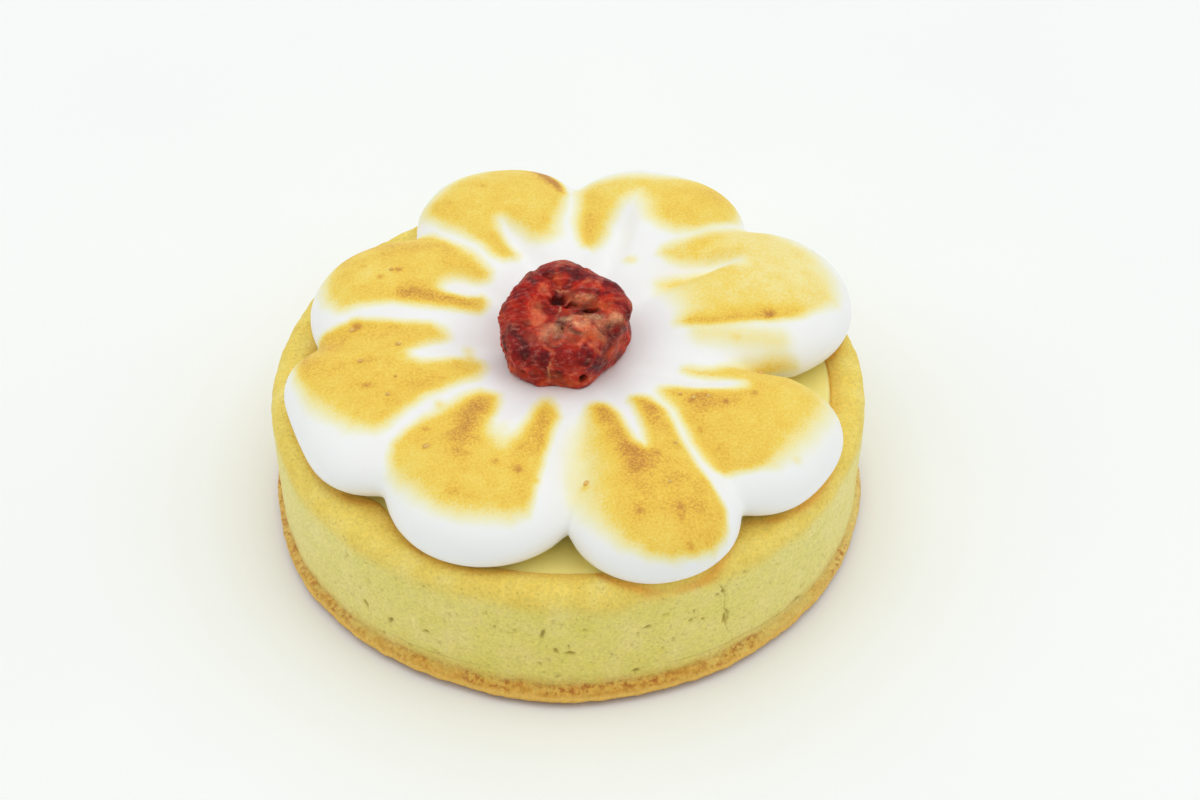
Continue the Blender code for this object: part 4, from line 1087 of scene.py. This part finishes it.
# Painted sheen: ovals where the bright surroundings are reflected on the moist skin.
BLOOM_PATCHES = (
    (5.1, 5.6, 3.4, 3.2, 1.7, 1.6, 1.0), (-0.5, 7.6, 3.4, 5.5, 1.3, 1.6, 0.8),
    (7.6, -0.5, 3.0, 1.0, 4.0, 1.8, 0.7), (-7.6, 1.5, 3.0, 1.2, 4.5, 2.0, 0.7),
    (-0.7, -2.6, 4.2, 1.6, 0.9, 2.0, 0.35), (-1.0, -7.3, 3.5, 3.0, 0.7, 0.9, 0.8),
    (3.4, -7.0, 3.3, 2.6, 0.8, 1.2, 0.8), (3.4, -8.4, 0.8, 1.6, 1.4, 1.3, 0.9),
    (-6.3, -2.0, 3.8, 0.6, 0.6, 1.0, 0.8),
)
WRINKLES = ((2.8, 0.52, 61), (1.3, 0.15, 62), (0.6, 0.05, 63))  # wavelength, height and seed
# How far noise moves the patterns of the folds, holes and patches, its wavelength and its seed.
FOLD_JUMBLE = (0.8, 2.5, 70)
HOLE_JUMBLE = (0.35, 0.9, 80)
PATCH_JUMBLES = ((1.2, 1.8, 90), (0.5, 0.6, 96))
STRIPE_SPACING = 0.85
STRIPE_HEIGHT = 0.07
HOLE_DEPTH = 1.1
SOFT_BELL = 1.2  # how firm the edges of the coloured patches are
SHOULDER_BLOOM = 0.60  # how much painted greyish sheen lies on the fruit's upper edge


def ovals(point, rows, firmness=2.0):
    """The strongest of the bells exp(-d^(2 firmness)) over the ovals, where d is the distance from an oval's
    middle in half lengths. A larger firmness gives flatter tops and sharper edges."""
    strongest = np.zeros(point.shape[1:])
    for x, y, z, long_x, long_y, long_z, strength in rows:
        squared = ((point[0] - x) / long_x) ** 2 + ((point[1] - y) / long_y) ** 2
        squared += ((point[2] - z) / long_z) ** 2
        strongest = np.maximum(strongest, strength * np.exp(-(squared**firmness)))
    return strongest


def jumbled(point, amount, wavelength, seed):
    """The points moved about by noise, so that a pattern laid on them gets ragged edges."""
    return point + amount * np.stack([noise(point, wavelength, seed + i) for i in range(3)])


local = fruit_form(*round_grid(FRUIT_COLUMNS, np.linspace(np.pi / 2, -np.pi / 2, FRUIT_ROWS)))
bent = jumbled(local, *FOLD_JUMBLE)
folds = sum(height * (0.5 - np.abs(noise(bent, wavelength, seed))) for wavelength, height, seed in WRINKLES)
stripes = np.sin(2.0 * np.pi * local[1] / STRIPE_SPACING + 1.5 * noise(local, 2.0, 64))
left_side = 1.0 - smooth_step(local[0], -7.0, -4.5)
holes = ovals(jumbled(local, *HOLE_JUMBLE), HOLES)
local = local + outward(local) * (folds + STRIPE_HEIGHT * stripes * left_side - HOLE_DEPTH * holes)
ragged = jumbled(jumbled(local, *PATCH_JUMBLES[0]), *PATCH_JUMBLES[1])
# Painted shade in the deepest folds and in the holes.
crevices = np.clip(0.25 - 2.0 * (folds / sum(row[1] for row in WRINKLES)) + 0.8 * holes, 0.0, 1.0)
pale = ovals(ragged, PALE_PATCHES, SOFT_BELL)
crevices *= 1.0 - pale
from_middle = np.hypot(local[0], local[1]) + 0.8 * noise(local, 3.0, 100)
shoulder = smooth_step(from_middle, 6.4, 8.2) * smooth_step(local[2], 0.4, 2.6)
bloom = np.maximum(ovals(ragged, BLOOM_PATCHES, SOFT_BELL), SHOULDER_BLOOM * shoulder) * (1.0 - pale)
fruit = closed_surface(
    "candied_fruit", on_seat(local), holes=holes, crevices=crevices, pale=pale,
    orange=ovals(ragged, ORANGE_PATCHES, SOFT_BELL), bloom=bloom,
)
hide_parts("red_fruit")

# %% [markdown]
# ## Beads of syrup
# Where the flame was hot, syrup came out of the meringue and set as tiny amber beads. Each is a flattened
# ball sunk to its middle in the skin. All of them are copies of one small grid, placed as whole arrays and
# joined in one mesh.

# %% Beads on the browned skin
BEAD_SIDES = 12
BEAD_RINGS = 7
BEAD_HEIGHT_SHARE = 0.6
BEAD_LEAN_STEP = 0.2  # how far from a bead the skin's slope is measured
BEADS = (  # radius and azimuth on the flower, and size across
    (27.6, 227.5, 1.0), (28.3, 189.8, 0.8), (23.0, 183.8, 0.8), (26.6, 205.5, 0.6), (26.3, 348.5, 0.9),
    (20.6, 323.4, 0.7), (22.1, 327.0, 0.6), (29.6, 174.3, 0.7), (27.8, 151.3, 0.7), (24.8, 304.2, 0.6),
    (26.3, 275.2, 0.9), (31.0, 295.0, 0.5), (24.5, 199.5, 0.5), (18.8, 322.0, 0.5),
)


def back_points(x, y):
    """The points of the meringue's back above x and y."""
    start = np.stack([x, y, np.full_like(x, MERINGUE_MIDDLE)])
    up = np.zeros_like(start)
    up[2] = 1.0
    return seated(start + up * reach_along(start, up, THICKEST))


def beads_mesh(name, rows):
    """Copies of one ball grid: each is scaled to its size, flattened along the skin's normal and moved to
    its place, all in one array (3, beads, points)."""
    radius, degrees, across = np.array(rows).T
    x, y = flat_place(radius, degrees)
    middle = back_points(x, y)
    east = back_points(x + BEAD_LEAN_STEP, y) - middle
    north = back_points(x, y + BEAD_LEAN_STEP) - middle
    east /= np.linalg.norm(east, axis=0)
    normal = np.cross(east, north, axis=0)
    normal /= np.linalg.norm(normal, axis=0)
    side = np.cross(normal, east, axis=0)
    middle = middle + normal * layered_noise(middle, (SWELL,))
    turn, tilt = round_grid(BEAD_SIDES, np.linspace(np.pi / 2, -np.pi / 2, BEAD_RINGS))
    ball = poles_and_rings(np.stack([np.cos(tilt) * np.cos(turn), np.cos(tilt) * np.sin(turn), np.sin(tilt)]))
    frames = [east, side, normal * BEAD_HEIGHT_SHARE]
    points = middle[:, :, None] + sum(
        axis[:, :, None] * ball[i] * (across / 2.0)[:, None] for i, axis in enumerate(frames)
    )
    first_points = ball.shape[1] * np.arange(len(rows))[:, None, None]
    quads, fans = ball_faces(BEAD_RINGS, BEAD_SIDES)
    faces = (first_points + quads).reshape(-1, 4).tolist() + (first_points + fans).reshape(-1, 3).tolist()
    mesh = bpy.data.meshes.new(name)
    mesh.from_pydata((points.reshape(3, -1).T * MM).tolist(), [], faces)
    return shown(name, mesh)


beads = beads_mesh("syrup_beads", BEADS)

# %% [markdown]
# ## Finish: torched meringue
# Meringue is sugar foam: very white, a little translucent, with a satin skin where it dried. The flame turns
# its sugar pale yellow, then golden, amber and brown, in fine grains, because each bubble of the foam browns
# by itself. The amount on the mesh goes through a colour ramp, after two noises have broken it up: one a few
# millimetres coarse and one as fine as the bubbles.

# %% Torched meringue
MERINGUE_BUBBLES = 0.32  # mm between the bubbles that brown; the real ones are partly finer
MERINGUE_CLOUDS = 2.6
MERINGUE_RAMP = (
    (0.00, "FCFDFB"), (0.12, "F8F4D6"), (0.28, "FAEAA6"), (0.46, "F8D860"), (0.60, "F2C84C"),
    (0.74, "DFA742"), (0.90, "C4873A"),
)
SPECK_DARKNESS = 0.52


def torched_meringue():
    """White sugar foam with a satin skin, browned in grains where the flame was."""
    material, tree, place = new_material("torched_meringue")
    torched, speck = (
        add_node(tree, "Attribute", attribute_name=name).outputs["Fac"] for name in ("torched", "specks")
    )
    grain, cloud = (
        add_node(tree, "TexNoise", {
            "Vector": place, "Scale": per_metre(size), "Detail": detail, "Roughness": rough})
        for size, detail, rough in ((MERINGUE_BUBBLES, 3.0, 0.6), (MERINGUE_CLOUDS, 2.0, 0.5))
    )
    grain_share = add_node(tree, "MapRange", (grain, 0.3, 0.7, 0.80, 1.20))
    cloud_share = add_node(tree, "MapRange", (cloud, 0.3, 0.7, 0.92, 1.08))
    broken = add_node(tree, "Math", (grain_share, cloud_share), operation="MULTIPLY")
    amount = add_node(tree, "Math", (torched, broken), operation="MULTIPLY")
    total = add_node(tree, "Math", (speck, SPECK_DARKNESS, amount), operation="MULTIPLY_ADD")
    relief = add_node(tree, "Math", (grain, amount), operation="MULTIPLY")
    shader = add_node(tree, "BsdfPrincipled", {
        "Base Color": add_node(tree, "ValToRGB", (total,), MERINGUE_RAMP),
        "Roughness": add_node(tree, "MapRange", (torched, 0.0, 1.0, 0.42, 0.58)),
        "Normal": add_node(tree, "Bump", {"Height": relief, "Distance": 0.10 * MM, "Strength": 0.8}),
        "IOR": 1.45, "Specular IOR Level": 0.35, "Subsurface Weight": 0.6,
        "Subsurface Radius": (1.0, 0.95, 0.9), "Subsurface Scale": 0.35 * MM,
    })
    add_node(tree, "OutputMaterial", (shader,))
    return material


meringue.data.materials.append(torched_meringue())
print("Browning goes through", len(MERINGUE_RAMP), "colours")

# %% [markdown]
# ## Finish: baked shortcrust
# Shortcrust is a dry, matte crumb of flour, butter and egg yolk. The wall baked against the ring and stayed
# pale, with a green cast to its yellow. The rim and the foot met hotter air and metal, and are golden to
# brown. The crumb shows as fine grain, as darker pores, and as soft clouds where more butter came out. The
# pits, seam and crease get painted shade, the foot a painted highlight on its bulge and painted shade under
# it, and the rim painted shade where the petals meet it.

# %% Baked shortcrust
CRUMB_SIZE = 0.45
PORE_SPACING = 0.95
PORE_DARKNESS = 0.36
BUTTER_CLOUDS = 5.0
FOOT_FLECKS = 0.8
WALL_RAMP = ((0.30, "E9DC6E"), (0.50, "EEDF7B"), (0.72, "F4E38E"))
RIM_RAMP = ((0.30, "EFD05E"), (0.52, "F4DA6C"), (0.72, "F7E284"))
FOOT_RAMP = ((0.34, "CF973C"), (0.52, "DDAA48"), (0.72, "EAC065"))


def baked_shortcrust():
    """Matte crumb: a pale wall, a golden rim, a brown flecked foot, darker pits, and painted highlight and
    shade on the foot and where the petals meet the rim.
    """
    material, tree, place = new_material("baked_shortcrust")
    hollow, golden, brown, stain, lip, scorch, charred, side = (
        add_node(tree, "Attribute", attribute_name=name).outputs["Fac"]
        for name in ("hollow", "golden", "brown", "stain", "lip", "scorch", "charred", "side")
    )
    crumb, cloud, flecks = (
        add_node(tree, "TexNoise", {
            "Vector": place, "Scale": per_metre(size), "Detail": detail, "Roughness": rough})
        for size, detail, rough in (
            (CRUMB_SIZE, 4.0, 0.65), (BUTTER_CLOUDS, 3.0, 0.6), (FOOT_FLECKS, 3.0, 0.7))
    )
    cells = add_node(tree, "TexVoronoi", {
        "Vector": place, "Scale": per_metre(PORE_SPACING), "Randomness": 1.0})
    pores = add_node(tree, "MapRange", (cells, 0.06, 0.20, PORE_DARKNESS, 0.0))
    # Painted shade in the pits, seam and crease, over the pits' own olive tint.
    ragged_hollow = add_node(tree, "Math", (crumb, 0.5, hollow), operation="MULTIPLY_ADD")
    dark_hollow = add_node(tree, "MapRange", (ragged_hollow, 0.50, 0.95, 0.0, 0.64))
    dark_flecks = add_node(tree, "MapRange", (flecks, 0.40, 0.52, 1.0, 0.0))
    colour = add_node(tree, "ValToRGB", (cloud,), WALL_RAMP)
    # Each layer is how much of it shows, and its colour.
    for share, shade in (
        (add_node(tree, "Math", (side, 0.5), operation="MULTIPLY"), "F8ECA8"),
        (golden, add_node(tree, "ValToRGB", (cloud,), RIM_RAMP)),
        (brown, add_node(tree, "ValToRGB", (flecks,), FOOT_RAMP)),
        (add_node(tree, "Math", (scorch, dark_flecks), operation="MULTIPLY"), "B86A30"),
        # painted shade on the foot's underside
        (charred, "A8702F"),
        # painted highlight along the foot's bulge
        (lip, "EFC262"),
        # sugar stain, with painted shade where the petals meet the rim
        (stain, "E9A23A"),
        (add_node(tree, "Math", (pores, dark_hollow), operation="MAXIMUM"), "A08A2E"),
    ):
        colour = add_node(tree, "Mix", {0: share, 6: colour, 7: shade}, data_type="RGBA").outputs[2]
    light = add_node(tree, "MapRange", (crumb, 0.3, 0.7, 0.86, 1.12))
    relief = add_node(tree, "Math", (crumb, pores), operation="SUBTRACT")
    shader = add_node(tree, "BsdfPrincipled", {
        "Base Color": add_node(tree, "VectorMath", {0: colour, 3: light}, operation="SCALE"),
        "Normal": add_node(tree, "Bump", {"Height": relief, "Distance": 0.22 * MM, "Strength": 0.7}),
        "Roughness": 0.72, "IOR": 1.45, "Specular IOR Level": 0.25, "Subsurface Weight": 0.15,
        "Subsurface Radius": (1.0, 0.7, 0.35), "Subsurface Scale": 0.8 * MM,
    })
    add_node(tree, "OutputMaterial", (shader,))
    return material


crust.data.materials.append(baked_shortcrust())
print("Crumb grains every", CRUMB_SIZE, "mm")

# %% [markdown]
# ## Finish: lemon curd
# Curd is a smooth gel of lemon, egg yolk and butter. Light goes some way into it, so its shadows are soft
# and full of colour, and its skin is glossy with very faint ripples.

# %% Lemon curd gel
CURD_CLOUDS = 4.0
CURD_RIPPLES = 1.6
CURD_RAMP = ((0.3, "FFE98A"), (0.7, "FFF098"))


def lemon_curd_gel():
    """A glossy, slightly translucent yellow gel."""
    material, tree, place = new_material("lemon_curd_gel")
    cloud = add_node(tree, "TexNoise", {"Vector": place, "Scale": per_metre(CURD_CLOUDS), "Detail": 3.0})
    ripple = add_node(tree, "TexNoise", {"Vector": place, "Scale": per_metre(CURD_RIPPLES), "Detail": 2.0})
    shader = add_node(tree, "BsdfPrincipled", {
        "Base Color": add_node(tree, "ValToRGB", (cloud,), CURD_RAMP),
        "Normal": add_node(tree, "Bump", {"Height": ripple, "Distance": 0.12 * MM, "Strength": 0.6}),
        "Roughness": 0.22, "IOR": 1.42, "Specular IOR Level": 0.8, "Subsurface Weight": 0.4,
        "Subsurface Radius": (1.0, 0.8, 0.4), "Subsurface Scale": 1.0 * MM,
    })
    add_node(tree, "OutputMaterial", (shader,))
    return material


curd.data.materials.append(lemon_curd_gel())

# %% [markdown]
# ## Finish: candied red fruit
# Candied flesh is full of syrup, so light goes millimetres into it: thin parts glow orange-red and deep ones
# are almost black. That glow is painted as orange patches, and the folds and holes get painted shade. Its
# skin is moist, and a painted bluish sheen on the edges and folds and painted highlight streaks stand for
# its reflections. Fibres and seeds show as pale, dull patches.

# %% Candied fruit flesh
FIBRE_SIZE = 0.55
FLESH_CLOUDS = 3.0
FLESH_RAMP = ((0.35, "5A0402"), (0.46, "940C05"), (0.57, "C0260E"), (0.70, "E06A42"))
# Painted highlight streaks: noise stretched this much along x, y and z.
THREAD_STRETCH = (0.55, 1.0, 0.8)


def candied_flesh():
    """Moist red flesh, with a painted orange glow where it is thin, painted shade in the folds and holes, a
    painted greyish purple sheen on the edges, painted highlight streaks, and pale fibres.
    """
    material, tree, place = new_material("candied_flesh")
    pale, orange, bloom, crevice, holes = (
        add_node(tree, "Attribute", attribute_name=name).outputs["Fac"]
        for name in ("pale", "orange", "bloom", "crevices", "holes")
    )
    along = add_node(tree, "VectorMath", (place, THREAD_STRETCH), operation="MULTIPLY")
    fibre, cloud, thread = (
        add_node(tree, "TexNoise", {
            "Vector": vector, "Scale": per_metre(size), "Detail": detail, "Roughness": rough,
            "Distortion": distortion})
        for vector, size, detail, rough, distortion in (
            (place, FIBRE_SIZE, 4.0, 0.65, 1.2), (place, FLESH_CLOUDS, 3.0, 0.55, 0.8),
            (along, FIBRE_SIZE, 3.0, 0.6, 0.0))
    )
    pale_fibre = add_node(tree, "MapRange", (fibre, 0.34, 0.62, 0.50, 0.78))
    dark_crevice = add_node(tree, "Math", (crevice, 0.85), operation="MULTIPLY")
    colour = add_node(tree, "ValToRGB", (cloud,), FLESH_RAMP)
    # Each layer is how much of it shows, and its colour.
    for share, shade in (
        # painted glow where the flesh is thin
        (add_node(tree, "Math", (orange, 0.80), operation="MULTIPLY"), "D06028"),
        # painted sheen on the edges
        (add_node(tree, "Math", (bloom, 0.62), operation="MULTIPLY"), "601E28"),
        (add_node(tree, "Math", (pale, pale_fibre), operation="MULTIPLY"), "F4BC8A"),
        # painted highlight streaks
        (add_node(tree, "MapRange", (thread, 0.52, 0.75, 0.0, 0.38)), "E29A88"),
        # painted shade in the folds and holes
        (add_node(tree, "Math", (dark_crevice, holes), operation="MAXIMUM"), "3E0605"),
    ):
        colour = add_node(tree, "Mix", {0: share, 6: colour, 7: shade}, data_type="RGBA").outputs[2]
    light = add_node(tree, "MapRange", (fibre, 0.3, 0.7, 0.78, 1.22))
    shader = add_node(tree, "BsdfPrincipled", {
        "Base Color": add_node(tree, "VectorMath", {0: colour, 3: light}, operation="SCALE"),
        "Normal": add_node(tree, "Bump", {"Height": fibre, "Distance": 0.22 * MM, "Strength": 0.9}),
        "Roughness": 0.30, "IOR": 1.45, "Specular IOR Level": 0.18, "Subsurface Weight": 0.5,
        "Subsurface Radius": (1.0, 0.22, 0.10), "Subsurface Scale": 1.5 * MM,
    })
    add_node(tree, "OutputMaterial", (shader,))
    return material


fruit.data.materials.append(candied_flesh())

# %% [markdown]
# ## Finish: set syrup
# Syrup that came out of the foam and browned is clear amber glass to the eye: smooth and shiny, and darker
# than the skin under it.

# %% Amber syrup
SYRUP_CLOUDS = 0.5
SYRUP_RAMP = ((0.35, "DFAC56"), (0.65, "EDC474"))


def amber_syrup():
    """Shiny amber beads that are a little clear."""
    material, tree, place = new_material("amber_syrup")
    cloud = add_node(tree, "TexNoise", {"Vector": place, "Scale": per_metre(SYRUP_CLOUDS), "Detail": 2.0})
    shader = add_node(tree, "BsdfPrincipled", {
        "Base Color": add_node(tree, "ValToRGB", (cloud,), SYRUP_RAMP),
        "Roughness": 0.25, "IOR": 1.45, "Specular IOR Level": 0.3, "Subsurface Weight": 0.4,
        "Subsurface Radius": (1.0, 0.6, 0.2), "Subsurface Scale": 0.5 * MM,
    })
    add_node(tree, "OutputMaterial", (shader,))
    return material


beads.data.materials.append(amber_syrup())

# %% [markdown]
# ## Table and light
# The tart stands on a white table in a white tent, so light comes from everywhere, with softboxes overhead,
# behind and at both sides, and none at the front. A bright even world stands for the tent and a very wide
# sun for each softbox. The table is one large plane: it is stage, and not part of the tart.

# %% Table
TABLE_SIZE = 4.0  # in metres
TABLE_CLOUDS = 60.0
TABLE_RAMP = ((0.3, "F8FAF9"), (0.7, "FAFCFB"))


def white_table():
    """Matte white board with a very faint grain."""
    material, tree, place = new_material("white_table")
    cloud = add_node(tree, "TexNoise", {"Vector": place, "Scale": per_metre(TABLE_CLOUDS), "Detail": 2.0})
    colour = add_node(tree, "ValToRGB", (cloud,), TABLE_RAMP)
    shader = add_node(tree, "BsdfPrincipled", {
        "Base Color": colour, "Roughness": 0.7, "Specular IOR Level": 0.1})
    add_node(tree, "OutputMaterial", (shader,))
    return material


half = TABLE_SIZE / 2.0
table_corners = [(-half, -half, 0.0), (half, -half, 0.0), (half, half, 0.0), (-half, half, 0.0)]
table_mesh = bpy.data.meshes.new("table")
table_mesh.from_pydata(table_corners, [], [(0, 1, 2, 3)])
table = in_scene("table", table_mesh)
table.data.materials.append(white_table())

# %% Light
TENT_STRENGTH = 0.535
LAMP_WIDTH = math.radians(60.0)
# The lamps: name, strength, and how far each is tilted from straight overhead to the back and to the right.
LAMPS = (
    ("overhead", 0.53, -10.0, 0.0),
    ("behind", 0.37, 45.0, 0.0),
    ("left", 0.46, 0.0, -45.0),
    ("right", 0.54, 0.0, 45.0),
)

world = bpy.data.worlds.new("tent")
world.use_nodes = True
world.node_tree.nodes.clear()
tent = add_node(world.node_tree, "Background", ("F9FBFA", TENT_STRENGTH))
add_node(world.node_tree, "OutputWorld", (tent,))
bpy.context.scene.world = world
for name, strength, back, right in LAMPS:
    lamp_data = bpy.data.lights.new(name, "SUN")
    lamp_data.energy = strength
    lamp_data.angle = LAMP_WIDTH
    in_scene(name, lamp_data).rotation_euler = (math.radians(-back), math.radians(right), 0.0)
bpy.context.scene.view_settings.view_transform = "Standard"
